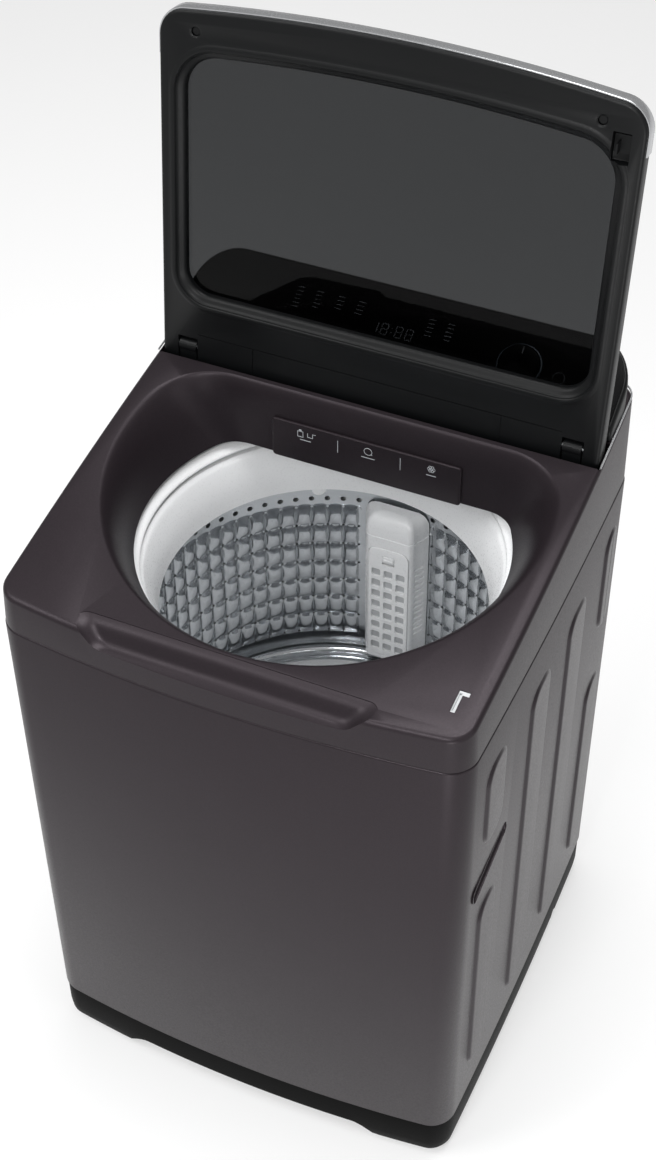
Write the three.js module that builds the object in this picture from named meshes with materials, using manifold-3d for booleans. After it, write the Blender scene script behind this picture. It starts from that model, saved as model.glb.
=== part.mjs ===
// Top load washing machine. Millimetres, +Z up, +Y to the rear, +X to the right of someone
// who stands in front of it. The origin is on the floor, in the middle of the machine's box.
import * as THREE from 'three';
import { mergeVertices } from 'three/addons/utils/BufferGeometryUtils.js';
import Module from 'manifold-3d';

const wasm = await Module();
wasm.setup();

// ---- driving dimensions ----------------------------------------------------------------
const WIDTH = 560;            // across the cabinet's vertical corners
const DEPTH = 540;            // from the front corners to the rear face
const FRONT_BOW = 20;         // how far the middle of the front stands out
const SIDE_BOW = 4;           // how far the middle of each side stands out
const CORNER_R = 28;          // vertical corners of the cabinet
const BASE_H = 70;            // plastic base, floor to cabinet
const CABINET_H = 676;        // painted steel shell
const COVER_FRONT_H = 48;     // top cover above the seam, at the front corners
const TOP_SLOPE = 8.1;        // degrees that the top cover rises to the rear
const COVER_DRAFT = 3;        // how far the cover's top edge stands in from the cabinet
const SHEET = 1.2;            // steel sheet
const REAR_LAP = 14;          // rear panel behind the shell's flanges
const WALL = 3;               // moulded plastic wall
const FIT = 0.4;              // gap between two pieces that touch
const SEAM_GAP = 0.8;         // joint line between the cabinet and the top cover

const THROAT_OVER = 6;        // loading opening's lower lip, out from the tub ring's inner edge
const THROAT_LIP_H = 11;      // lower lip above the seam
const THROAT_FLARE = 0.45;    // radius that the opening gains with each mm of height
const THROAT_REAR = 156;      // straight rear wall of the opening, in front of the rear face
const THROAT_CORNER_R = 40;   // where the straight wall meets the round one

const DRUM_R = 234;           // inside of the steel basket
const DRUM_DEPTH = 320;       // basket floor to the balance ring's lower lip
const BALANCE_H = 66;         // balance ring
const BALANCE_LIP_IN = 40;    // balance ring's lower inner lip, in from the basket's wall
const BALANCE_TOP_IN = 26;    // balance ring's upper inner edge, in from the basket's wall
const TUB_GAP = 18;           // between the basket and the outer tub
const TUB_FLOOR_DROP = 55;    // outer tub's floor below the basket's floor
const RING_OVER = 3;          // tub cover ring's inner edge, out from the balance ring's
const RING_CLEAR = 9;         // tub cover ring below the throat's lip
const PULSATOR_IN = 34;       // pulsator's rim, in from the basket's wall
const PULSATOR_DOME = 34;     // pulsator's centre above its rim

const ROD_IN_X = 48;          // suspension rods, in from the cabinet's sides
const ROD_IN_Y = 48;          // suspension rods, in from the cabinet's front and rear
const ROD_R = 4;
const SPRING_R = 15;
const SPRING_L = 56;

const PULLEY_R = 85;
const MOTOR_PULLEY_R = 28;
const PULLEY_H = 18;
const MOTOR_Y = 160;          // motor's axis, behind the drum's axis
const MOTOR_R = 62;
const TUB_FRAME_T = 6;        // steel plate under the tub

const LID_SIDE_IN = 3;        // lid's sides, in from the cabinet's corners
const LID_OVER = 30;          // lid's side edges, longer than the way to the front corners
const LID_BOW = 18;           // how far the middle of its front edge stands out
const LID_CORNER_R = 30;
const LID_T = 20;             // frame, glass and trim together
const LID_FRAME_T = 14;
const LID_LEAN = 6.5;         // degrees behind upright when it is open
const LID_FOOT_IN = 5;        // open lid's lower inner edge, behind the trough's front
const LID_FOOT_DROP = 9.5;    // that edge, below the cover's top surface
const PIVOT_UP = 20.8;        // hinge axis, up the lid from its lower edge
const PIVOT_BACK = 6;         // hinge axis, behind the lid's inner face
const WINDOW_IN = 31;         // lid's window, in from the lid's sides
const WINDOW_LOW = 92;        // its lower edge, up the lid
const WINDOW_TOP_IN = 45;     // its upper edge, down from the lid's corners
const WINDOW_R = 34;
const PIN_R = 3;
const NOTCH_IN = 35;          // middles of the hinge notches, in from the lid's sides
const NOTCH_W = 26;
const NOTCH_H = 34;

const TROUGH_IN = 142;        // front of the trough that the lid turns in, from the rear face
const TROUGH_DEPTH = 16;
const CONSOLE_L = 100;        // console's front, in front of the rear face
const CONSOLE_SLOPE = 30;     // degrees of the control panel
const CONSOLE_RISE = 59.4;    // panel's rear edge above the top cover
const CONSOLE_CORNER_R = 54;
const CONSOLE_IN = 3.8;       // console's sides in from the cabinet's corners
const PANEL_T = 3.5;
const PANEL_EDGE = 5;         // rim around the glass control panel
const DIAL_X = 149;
const DIAL_BACK = 44;         // dial's middle, behind the console's front
const DIAL_R = 27;
const DIAL_H = 7;

const DRAWER_IN = 34.8;       // drawer's face, in from the ends of the opening's straight wall
const DRAWER_FACE_H = 56;
const DRAWER_FACE_T = 3;
const TRAY_IN = 9;            // tray's sides, in from its face's sides
const TRAY_L = 108;
const TRAY_H = 38;
const TRAY_WALL = 2;

const GROOVE_HALF = 148;      // finger groove's floor in the front top edge
const GROOVE_DEPTH = 21;      // down the front face
const GROOVE_SPLAY = 1;       // its ends run out by this with each mm of height
const GROOVE_LEAN = 0.57;     // its back wall runs back by this with each mm of height
const GRIP_L = 104;           // side grips
const GRIP_H = 24;
const GRIP_DEEP = 20;
const GRIP_Y = -173;
const GRIP_DOWN = 234;        // grips' middles, below the seam
const GRIP_TILT = 13.6;
const LOCK_SIDE_IN = 30.5;    // lid lock's slot, in from the lid's side
const LOCK_FRONT_IN = 48;     // and behind the front corners
const BOLT_STROKE = 9;        // lock bolt's travel

const FILTER_FRONT = 34;      // lint filter, in from the basket's wall
const FILTER_BACK_HALF = 44;
const FILTER_FACE_HALF = 34;
const FILTER_H = 232;
const FILTER_UP = 26;         // filter's foot above the basket's floor
const FILTER_DOOR_HALF = 28;
const FILTER_DOOR_H = 192;
const LATCH_TRAVEL = 4;
const FOOT_R = 20;
const FOOT_H = 8;
const SEG = 40;               // facets of the drum and everything round its axis

// ---- derived levels --------------------------------------------------------------------
const rad = THREE.MathUtils.degToRad;
const MID_Y = FRONT_BOW / 2;                 // middle of the depth between the corner planes
const FRONT_Y = MID_Y - DEPTH / 2;
const REAR_Y = MID_Y + DEPTH / 2;
const SEAM_Z = BASE_H + CABINET_H;
const TOP_RISE = Math.tan(rad(TOP_SLOPE));
const topZ = (y) => SEAM_Z + COVER_FRONT_H + TOP_RISE * (y - FRONT_Y);
const THROAT_Z = SEAM_Z + THROAT_LIP_H;
const THROAT_REAR_Y = REAR_Y - THROAT_REAR;
const TROUGH_FRONT = REAR_Y - TROUGH_IN;
const CONSOLE_FRONT = REAR_Y - CONSOLE_L;
const DIAL_Y = CONSOLE_FRONT + DIAL_BACK;
const BALANCE_LIP_R = DRUM_R - BALANCE_LIP_IN;
const BALANCE_TOP_R = DRUM_R - BALANCE_TOP_IN;
const RING_INNER_R = BALANCE_TOP_R + RING_OVER;
const THROAT_R = RING_INNER_R + THROAT_OVER;
const PULSATOR_R = DRUM_R - PULSATOR_IN;
const RING_TOP = THROAT_Z - RING_CLEAR;
const RIDGE_Z = RING_TOP - 9;
const BALANCE_TOP = RIDGE_Z - 8;
const RIM_Z = BALANCE_TOP - BALANCE_H;
const FLOOR_Z = RIM_Z - DRUM_DEPTH;
const TUB_R = DRUM_R + SHEET + TUB_GAP;      // inside of the outer tub
const TUB_FLOOR = FLOOR_Z - TUB_FLOOR_DROP;
const ROD_X = WIDTH / 2 - ROD_IN_X;
const ROD_Y = [FRONT_Y + ROD_IN_Y, REAR_Y - ROD_IN_Y];
const LUG_Z = TUB_FLOOR + 10;
const GUSSET_Z = SEAM_Z - 56;
const PULLEY_TOP = TUB_FLOOR - 160;
const LID_HALF = WIDTH / 2 - LID_SIDE_IN;
const LID_FOOT_Y = TROUGH_FRONT + LID_FOOT_IN;
const LID_FOOT_Z = topZ(LID_FOOT_Y) - LID_FOOT_DROP;
const LID_L = LID_FOOT_Y - FRONT_Y + LID_OVER;
const WINDOW_HALF = LID_HALF - WINDOW_IN;
const WINDOW_HIGH = LID_L - WINDOW_TOP_IN;
const NOTCH_X = LID_HALF - NOTCH_IN;
const LOCK_X = LID_HALF - LOCK_SIDE_IN;
const LOCK_Y = FRONT_Y + LOCK_FRONT_IN;
const GRIP_Z = SEAM_Z - GRIP_DOWN;
const THROAT_FLAT = Math.sqrt((THROAT_R - THROAT_CORNER_R) ** 2 - (THROAT_REAR_Y - THROAT_CORNER_R) ** 2);
const DRAWER_HALF = THROAT_FLAT - DRAWER_IN;
const TRAY_HALF = DRAWER_HALF - TRAY_IN;

// ---- shapes ----------------------------------------------------------------------------
function toSolid(geometry) {
  const bare = geometry.index ? geometry.toNonIndexed() : geometry.clone();
  for (const key of Object.keys(bare.attributes)) if (key !== 'position') bare.deleteAttribute(key);
  const merged = mergeVertices(bare, 1e-4);
  return new wasm.Manifold(new wasm.Mesh({
    numProp: 3,
    vertProperties: Float32Array.from(merged.attributes.position.array),
    triVerts: Uint32Array.from(merged.index.array),
  }));
}

function toGeometry(solid) {
  const mesh = solid.getMesh();
  const geometry = new THREE.BufferGeometry();
  geometry.setAttribute('position', new THREE.BufferAttribute(Float32Array.from(mesh.vertProperties), 3));
  geometry.setIndex(new THREE.BufferAttribute(Uint32Array.from(mesh.triVerts), 1));
  geometry.computeVertexNormals();
  return geometry;
}

const join = (first, ...rest) => toGeometry(rest.reduce((s, g) => s.add(toSolid(g)), toSolid(first)));
const cut = (first, ...rest) => toGeometry(rest.reduce((s, g) => s.subtract(toSolid(g)), toSolid(first)));
const common = (first, ...rest) => toGeometry(rest.reduce((s, g) => s.intersect(toSolid(g)), toSolid(first)));

function box(x0, x1, y0, y1, z0, z1) {
  const geometry = new THREE.BoxGeometry(x1 - x0, y1 - y0, z1 - z0);
  return geometry.translate((x0 + x1) / 2, (y0 + y1) / 2, (z0 + z1) / 2);
}

// A round bar from z0 to z1 about the point (x, y).
function post(x, y, r, z0, z1, sides = 16) {
  return new THREE.CylinderGeometry(r, r, z1 - z0, sides).rotateX(Math.PI / 2).translate(x, y, (z0 + z1) / 2);
}

// A round bar along X about the point (y, z).
function barX(x0, x1, y, z, r, sides = 14) {
  return new THREE.CylinderGeometry(r, r, x1 - x0, sides).rotateZ(Math.PI / 2).translate((x0 + x1) / 2, y, z);
}

// A round bar along Y about the point (x, z).
function barY(x, z, r, y0, y1, sides = 16) {
  return new THREE.CylinderGeometry(r, r, y1 - y0, sides).translate(x, (y0 + y1) / 2, z);
}

// Turned about Z from [radius, height] points that close on themselves or end on the axis.
function turned(points, x = 0, y = 0, sides = SEG) {
  const onAxis = points[0][0] === 0 && points.at(-1)[0] === 0;
  const outline = points.map(([r, z]) => new THREE.Vector2(r, z));
  if (THREE.ShapeUtils.area(outline) < 0) outline.reverse();
  const profile = onAxis ? outline : [...outline, outline[0]];
  return new THREE.LatheGeometry(profile, sides).rotateX(Math.PI / 2).translate(x, y, 0);
}

// A closed outline pushed up from z0 to z1.
function plate(points, z0, z1, holes = []) {
  const shape = new THREE.Shape(points);
  shape.holes = holes.map((hole) => new THREE.Path(hole));
  return new THREE.ExtrudeGeometry(shape, { depth: z1 - z0, bevelEnabled: false }).translate(0, 0, z0);
}

// Rings of as many points each, skinned in order and capped at both ends.
function loft(rings) {
  const count = rings[0].length;
  const caps = THREE.ShapeUtils.triangulateShape(rings[0].map((p) => new THREE.Vector2(p.x, p.y)), []);
  const index = [];
  const last = (rings.length - 1) * count;
  for (const [a, b, c] of caps) index.push(c, b, a, last + a, last + b, last + c);
  for (let k = 0; k < rings.length - 1; k += 1) {
    for (let i = 0; i < count; i += 1) {
      const a = k * count + i;
      const b = k * count + ((i + 1) % count);
      index.push(a, b, b + count, a, b + count, a + count);
    }
  }
  const geometry = new THREE.BufferGeometry();
  geometry.setAttribute('position', new THREE.Float32BufferAttribute(rings.flat().flatMap((p) => p.toArray()), 3));
  geometry.setIndex(index);
  return geometry;
}

const atHeight = (points, height) => points.map((p) => new THREE.Vector3(p.x, p.y, height(p)));

// Anticlockwise rounded rectangle; radii in the order front right, rear right, rear left, front left.
function roundedRect(x0, x1, y0, y1, radii, arcSteps = 4, edgeSteps = 6) {
  const [fr, rr, rl, fl] = radii;
  const corners = [[x1 - fr, y0 + fr, fr, -90], [x1 - rr, y1 - rr, rr, 0], [x0 + rl, y1 - rl, rl, 90],
    [x0 + fl, y0 + fl, fl, 180]];
  const points = [];
  for (const [k, [cx, cy, r, start]] of corners.entries()) {
    for (let i = 0; i <= arcSteps; i += 1) {
      const angle = rad(start + 90 * i / arcSteps);
      points.push(new THREE.Vector2(cx + r * Math.cos(angle), cy + r * Math.sin(angle)));
    }
    const [nx, ny, nr, next] = corners[(k + 1) % 4];
    const from = points.at(-1);
    const to = new THREE.Vector2(nx + nr * Math.cos(rad(next)), ny + nr * Math.sin(rad(next)));
    for (let i = 1; i < edgeSteps; i += 1) points.push(from.clone().lerp(to, i / edgeSteps));
  }
  return points;
}

// Bows the low-Y side and both X sides of an outline about its own middle.
function bowed(points, frontBow, sideBow) {
  const bounds = new THREE.Box2().setFromPoints(points);
  const middle = bounds.getCenter(new THREE.Vector2());
  const half = bounds.getSize(new THREE.Vector2()).multiplyScalar(0.5);
  return points.map((p) => {
    const u = (p.x - middle.x) / half.x;
    const v = (p.y - middle.y) / half.y;
    const front = Math.max(0, -v) ** 2;
    return new THREE.Vector2(p.x + sideBow * u * (1 - v * v), p.y - frontBow * (1 - u * u) * front);
  });
}

// Plan of the machine, drawn in by inset.
function footprint(inset) {
  const r = Math.max(CORNER_R - inset, 2);
  const half = WIDTH / 2 - inset;
  const rect = roundedRect(-half, half, FRONT_Y + inset, REAR_Y - inset, [r, r, r, r]);
  return bowed(rect, FRONT_BOW, SIDE_BOW);
}

// Plan of the loading opening: a circle with a straight rear side.
function throatPlan(r, rearY, corner) {
  const reach = Math.sqrt((r - corner) ** 2 - (rearY - corner) ** 2);
  const turn = Math.atan2(rearY - corner, reach);
  const points = [];
  for (let i = 0; i <= 6; i += 1) {
    const angle = Math.PI / 2 - (Math.PI / 2 - turn) * i / 6;
    points.push(new THREE.Vector2(-reach - corner * Math.cos(angle), rearY - corner + corner * Math.sin(angle)));
  }
  const steps = 32;
  for (let i = 1; i < steps; i += 1) {
    const angle = Math.PI - turn + (Math.PI + 2 * turn) * i / steps;
    points.push(new THREE.Vector2(r * Math.cos(angle), r * Math.sin(angle)));
  }
  for (let i = 0; i <= 6; i += 1) {
    const angle = turn + (Math.PI / 2 - turn) * i / 6;
    points.push(new THREE.Vector2(reach + corner * Math.cos(angle), rearY - corner + corner * Math.sin(angle)));
  }
  return points;
}

function throatSolid(grow, z0, z1) {
  const ring = (z) => {
    const up = Math.max(z - THROAT_Z, 0);
    const plan = throatPlan(THROAT_R + grow + THROAT_FLARE * up, THROAT_REAR_Y + grow, THROAT_CORNER_R + grow);
    return atHeight(plan, () => z);
  };
  return loft([ring(z0), ring(Math.max(THROAT_Z, z0 + 1)), ring(z1)]);
}

// ---- materials -------------------------------------------------------------------------
const paint = (color, roughness, metalness) => new THREE.MeshStandardMaterial({ color, roughness, metalness });
const aubergine = paint(0x453f45, 0.4, 0.35);
const blackPlastic = paint(0x1b1c1d, 0.5, 0);
const basePlastic = paint(0x0b0b0c, 0.6, 0);
const whitePlastic = paint(0xe6e8e8, 0.35, 0);
const stainless = paint(0xb9bcbe, 0.28, 1);
const silver = paint(0xc9cacc, 0.25, 0.9);
const smokedGlass = paint(0x3a3b3c, 0.08, 0);
const greyPlastic = paint(0xb4b6b8, 0.45, 0);
const zincSteel = paint(0x9a9da0, 0.4, 0.9);
const rubber = paint(0x141414, 0.85, 0);
const castAluminium = paint(0xa4a7aa, 0.45, 0.8);
const boardGreen = paint(0x1d4a2c, 0.6, 0);

const machine = new THREE.Group();
function add(name, geometry, material, parent = machine) {
  const mesh = new THREE.Mesh(geometry, material);
  mesh.name = name;
  parent.add(mesh);
  return mesh;
}

// ---- cabinet ---------------------------------------------------------------------------
function gripBox(grow, x0, x1) {
  const geometry = box(x0, x1, -GRIP_L / 2 - grow, GRIP_L / 2 + grow, -GRIP_H / 2 - grow, GRIP_H / 2 + grow);
  return geometry.rotateX(rad(GRIP_TILT)).translate(0, GRIP_Y, GRIP_Z);
}

function buildCabinetShell() {
  const wrap = plate(footprint(0), BASE_H, SEAM_Z, [footprint(SHEET)]);
  const flange = WIDTH / 2 - CORNER_R - REAR_LAP;
  let shell = cut(wrap, box(-flange, flange, REAR_Y - 12, REAR_Y + 12, BASE_H - 1, SEAM_Z - 40));
  const skin = WIDTH / 2 + 0.8;
  for (const side of [-1, 1]) {
    const [a, b] = side > 0 ? [skin - GRIP_DEEP, skin] : [-skin, GRIP_DEEP - skin];
    const [c, d] = side > 0 ? [a + SHEET, skin + 12] : [-skin - 12, b - SHEET];
    shell = cut(join(shell, gripBox(SHEET, a, b)), gripBox(0, c, d));
  }
  for (const y of ROD_Y) {
    for (const side of [-1, 1]) {
      const reach = ROD_IN_X + 20;
      const outer = WIDTH / 2 - 0.6;
      const [x0, x1] = side > 0 ? [outer - reach, outer] : [-outer, reach - outer];
      const rearStop = REAR_Y - 2 * (SHEET + FIT);
      const [y0, y1] = y < 0 ? [FRONT_Y - FRONT_BOW, FRONT_Y + reach] : [REAR_Y - reach, rearStop];
      const gusset = common(box(x0, x1, y0, y1, GUSSET_Z, GUSSET_Z + 4), plate(footprint(0.5), 0, SEAM_Z));
      shell = join(shell, gusset);
      shell = cut(shell, post(side * ROD_X, y, ROD_R + 2, GUSSET_Z - 5, GUSSET_Z + 9));
    }
  }
  return shell;
}

function buildRearPanel() {
  const half = WIDTH / 2 - CORNER_R - 1;
  const y1 = REAR_Y - SHEET - FIT;
  const sheet = box(-half, half, y1 - SHEET, y1, BASE_H + 4, SEAM_Z - 6);
  return cut(sheet, barY(DRAIN_X, DRAIN_Z, DRAIN_R + 3, y1 - 9, y1 + 9), barY(CORD_X, CORD_Z, 12, y1 - 9, y1 + 9));
}

const DRAIN_X = -150;
const DRAIN_Z = BASE_H + 60;
const DRAIN_R = 16;
const CORD_X = 170;
const CORD_Z = SEAM_Z - 106;

function buildDrainOutlet() {
  const y1 = REAR_Y - SHEET - FIT;
  const flange = barY(DRAIN_X, DRAIN_Z, DRAIN_R + 10, y1 - SHEET - FIT - 4, y1 - SHEET - FIT, 24);
  const spigot = barY(DRAIN_X, DRAIN_Z, DRAIN_R, y1 - 60, REAR_Y - 1, 24);
  return cut(join(flange, spigot), barY(DRAIN_X, DRAIN_Z, DRAIN_R - 3, y1 - 70, REAR_Y + 5, 24));
}

function buildCordGland() {
  const y1 = REAR_Y - SHEET - FIT;
  const flange = barY(CORD_X, CORD_Z, 17, y1 - SHEET - FIT - 3, y1 - SHEET - FIT);
  const body = barY(CORD_X, CORD_Z, 11, y1 - 22, REAR_Y - 1);
  return cut(join(flange, body), barY(CORD_X, CORD_Z, 4.5, y1 - 30, REAR_Y + 5));
}

function buildBase() {
  const under = 8;
  const skirt = plate(footprint(1.5), under, BASE_H - FIT, [footprint(34)]);
  const arch = plate(roundedRect(-150, 150, -30, 28, [12, 12, 12, 12], 4, 2), 0, 60).rotateX(Math.PI / 2);
  const pads = [];
  for (const y of FEET_Y) for (const side of [-1, 1]) pads.push(post(side * FEET_X, y, 30, under, 30, 20));
  const holes = [];
  for (const side of [-1, 1]) holes.push(post(side * FEET_X, FEET_Y[0], 6 + FIT, under - 2, 44, 16));
  return cut(join(skirt, ...pads), arch.translate(0, FRONT_Y + 36, 0), ...holes);
}

const FEET_X = WIDTH / 2 - 52;
const FEET_Y = [FRONT_Y + 42, REAR_Y - 48];

function buildLevellingFoot(x, y) {
  const pad = turned([[0, 0], [FOOT_R, 0], [FOOT_R, 3], [FOOT_R - 4, FOOT_H - FIT], [0, FOOT_H - FIT]], x, y, 24);
  return join(pad, post(x, y, 6, FOOT_H - 1.5, 40, 16));
}

const buildFixedFoot = (x, y) => post(x, y, FOOT_R, 0, FOOT_H - FIT, 24);

add('cabinet_shell', buildCabinetShell(), aubergine);
add('rear_panel', buildRearPanel(), zincSteel);
add('base_frame', buildBase(), basePlastic);
add('drain_outlet', buildDrainOutlet(), greyPlastic);
add('cord_gland', buildCordGland(), rubber);
for (const [side, word] of [[-1, 'left'], [1, 'right']]) {
  add(`levelling_foot_${word}`, buildLevellingFoot(side * FEET_X, FEET_Y[0]), rubber);
  add(`rear_foot_${word}`, buildFixedFoot(side * FEET_X, FEET_Y[1]), rubber);
}

// ---- top cover -------------------------------------------------------------------------
// The cover's outer skin: drafted sides and a small round into the sloped top.
function coverBlock(inset, dropTop, z0) {
  const rings = [atHeight(footprint(SEAM_GAP + inset), () => z0),
    atHeight(footprint(COVER_DRAFT + inset), (p) => topZ(p.y) - dropTop - 5),
    atHeight(footprint(COVER_DRAFT + inset + 1.5), (p) => topZ(p.y) - dropTop - 1.5),
    atHeight(footprint(COVER_DRAFT + inset + 5), (p) => topZ(p.y) - dropTop)];
  return loft(rings);
}

// A slab that follows the sloped top between two depths below it.
function slopedSlab(x0, x1, y0, y1, above, below) {
  const plan = [[x0, y0], [x1, y0], [x1, y1], [x0, y1]].map(([x, y]) => new THREE.Vector2(x, y));
  return loft([atHeight(plan, (p) => topZ(p.y) - below), atHeight(plan, (p) => topZ(p.y) + above)]);
}

// A scoop in the front top edge whose floor runs down to the front face.
function grooveCut(grow) {
  const yFront = FRONT_Y - FRONT_BOW - 8;
  const floor = topZ(FRONT_Y) - GROOVE_DEPTH;
  const level = (up) => {
    const half = GROOVE_HALF + grow + GROOVE_SPLAY * up;
    const back = FRONT_Y - 2 + grow + GROOVE_LEAN * up;
    return [[-half, yFront], [half, yFront], [half, back], [-half, back]]
      .map(([x, y]) => new THREE.Vector3(x, y, floor + up));
  };
  return loft([level(-grow), level(GROOVE_DEPTH + 28)]);
}

const VALVE_X = [-190, -140];
const VALVE_Z = SEAM_Z + 62;
const VALVE_POCKET = { x0: -220, x1: -110, y: REAR_Y - 26, z0: VALVE_Z - 26, z1: VALVE_Z + 26 };

function buildTopCover() {
  const skirt = SEAM_Z + SEAM_GAP;
  let cover = cut(coverBlock(0, 0, skirt), coverBlock(WALL, WALL, skirt - 1));
  const inside = coverBlock(0.6, 0.6, skirt);
  cover = join(cover, common(throatSolid(WALL, THROAT_Z, topZ(REAR_Y)), coverBlock(1, 1, SEAM_Z - 20)));
  const rearSpan = WIDTH / 2 - 2;
  const troughHalf = LID_HALF + 1;
  const troughBlock = slopedSlab(-rearSpan, rearSpan, TROUGH_FRONT - WALL, CONSOLE_FRONT + WALL, -1,
    TROUGH_DEPTH + WALL);
  cover = join(cover, common(troughBlock, inside));
  cover = join(cover, common(grooveCut(WALL), inside));
  const p = VALVE_POCKET;
  const pocketBlock = box(p.x0 - WALL, p.x1 + WALL, p.y - WALL, REAR_Y + 5, p.z0 - WALL, p.z1 + WALL);
  cover = join(cover, common(pocketBlock, inside));
  cover = cut(cover, throatSolid(0, SEAM_Z - 30, topZ(REAR_Y) + 30),
    slopedSlab(-troughHalf, troughHalf, TROUGH_FRONT, CONSOLE_FRONT, 30, TROUGH_DEPTH),
    grooveCut(0),
    box(p.x0, p.x1, p.y, REAR_Y + 20, p.z0, p.z1));
  cover = cut(cover, box(-TRAY_HALF - 4, TRAY_HALF + 4, THROAT_REAR_Y - 5, THROAT_REAR_Y + 12,
    TRAY_Z - 4, TRAY_Z + TRAY_H + 4));
  for (const x of VALVE_X) cover = cut(cover, barY(x, VALVE_Z, 14.5, p.y - 12, p.y + 4));
  return cut(cover, lockSlot(0, LOCK_SLOT_DEEP + 8, 20));
}

const FACE_Z = THROAT_Z - 2;
const TRAY_Z = FACE_Z + 9;
const LOCK_SLOT_DEEP = WALL;

// The lock's slot in the cover: a long leg with a short arm at its rear end.
function lockSlot(shrink, below, above) {
  const s = shrink;
  const leg = [LOCK_X - 3 + s, LOCK_X + 2.5 - s, LOCK_Y - 14 + s, LOCK_Y + 15 - s];
  const arm = [LOCK_X - 3 + s, LOCK_X + 9.5 - s, LOCK_Y + 9 + s, LOCK_Y + 15 - s];
  return join(slopedSlab(...leg, above, below), slopedSlab(...arm, above, below));
}

add('top_cover', buildTopCover(), aubergine);

function buildLidLock() {
  const top = LOCK_SLOT_DEEP + FIT;
  const x0 = LOCK_X - 16;
  const x1 = LOCK_X + 16;
  const body = slopedSlab(x0, x1, LOCK_Y - 24, LOCK_Y + 28, -top, top + 20);
  const guide = lockSlot(FIT, top + 5, -1.2);
  const gap = slopedSlab(LOCK_X - 1.9, LOCK_X + 1.4, LOCK_Y - 12, LOCK_Y + 12, 10, top + 14);
  return cut(join(body, guide), gap, boltBox(FIT, 30, BOLT_STROKE + FIT));
}

// The locking bolt slides forward under the striker's window.
function boltBox(grow, behind, ahead) {
  return slopedSlab(LOCK_X - 6 - grow, LOCK_X + 5.5 + grow, LOCK_Y + 13 - ahead, LOCK_Y + 22 + behind,
    -LOCK_SLOT_DEEP - 8 + grow, LOCK_SLOT_DEEP + 12.5 + grow);
}

add('lid_lock', buildLidLock(), greyPlastic);
add('lock_bolt', boltBox(0, 0, 0), zincSteel);

function buildDispenserHousing() {
  const half = TRAY_HALF + 5;
  const y0 = THROAT_REAR_Y + WALL + 4;
  const y1 = y0 + TRAY_L + 6;
  const shell = box(-half, half, y0, y1, TRAY_Z - 5, TRAY_Z + TRAY_H + 8);
  return cut(shell, box(-half + 2, half - 2, y0 - 5, y1 - 2, TRAY_Z - 3, TRAY_Z + TRAY_H + 6));
}

add('dispenser_housing', buildDispenserHousing(), whitePlastic);

function buildDrawerFace() {
  const y0 = THROAT_REAR_Y - DRAWER_FACE_T - 0.5;
  const face = roundedRect(-DRAWER_HALF, DRAWER_HALF, 0, DRAWER_FACE_H, [3, 3, 3, 3], 3, 1);
  return plate(face, 0, DRAWER_FACE_T).rotateX(Math.PI / 2).translate(0, y0 + DRAWER_FACE_T, FACE_Z);
}

function buildDrawerTray() {
  const y0 = THROAT_REAR_Y - 0.5 + FIT;
  const y1 = y0 + TRAY_L;
  const tray = box(-TRAY_HALF, TRAY_HALF, y0, y1, TRAY_Z, TRAY_Z + TRAY_H);
  const third = (2 * TRAY_HALF - TRAY_WALL) / 3;
  const wells = [0, 1, 2].map((k) => {
    const x0 = -TRAY_HALF + TRAY_WALL + k * third;
    return box(x0, x0 + third - TRAY_WALL, y0 + TRAY_WALL, y1 - TRAY_WALL, TRAY_Z + TRAY_WALL, TRAY_Z + TRAY_H + 5);
  });
  return cut(tray, ...wells);
}

add('drawer_face', buildDrawerFace(), aubergine);
add('drawer_tray', buildDrawerTray(), whitePlastic);

function buildInletValve(x) {
  const y = VALVE_POCKET.y - WALL - FIT;
  const nozzle = barY(x, VALVE_Z, 13, y - 4, REAR_Y - 2, 24);
  const body = box(x - 18, x + 18, y - 34, y, VALVE_Z - 20, VALVE_Z + 20);
  return cut(join(body, nozzle), barY(x, VALVE_Z, 8, y - 2, REAR_Y + 5, 16));
}

add('inlet_valve_hot', buildInletValve(VALVE_X[0]), greyPlastic);
add('inlet_valve_cold', buildInletValve(VALVE_X[1]), whitePlastic);

// Pressure switch that senses the water level, with the stub for its air hose.
function buildLevelSensor() {
  const x = WIDTH / 2 - 80;
  const y = REAR_Y - 55;
  const z = SEAM_Z + 62;
  return join(post(x, y, 22, z, z + 16), post(x, y, 5, z - 16, z + 1, 12));
}

add('level_sensor', buildLevelSensor(), greyPlastic);

// ---- console ---------------------------------------------------------------------------
// Plan of the console, drawn in by inset.
function consolePlan(inset) {
  const half = WIDTH / 2 - CONSOLE_IN - inset;
  const rear = Math.max(CONSOLE_CORNER_R - inset, 2);
  return roundedRect(-half, half, CONSOLE_FRONT + inset, CONSOLE_REAR - inset, [3, rear, rear, 3], 5, 2);
}

const PANEL_RISE = Math.tan(rad(CONSOLE_SLOPE));
const CONSOLE_REAR = REAR_Y - 2;
const panelZ = (y) => topZ(CONSOLE_REAR) + CONSOLE_RISE - PANEL_RISE * (CONSOLE_REAR - y);
const onPanel = (drop) => (p) => panelZ(p.y) - drop;
const onTop = (lift) => (p) => topZ(p.y) + lift;

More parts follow.
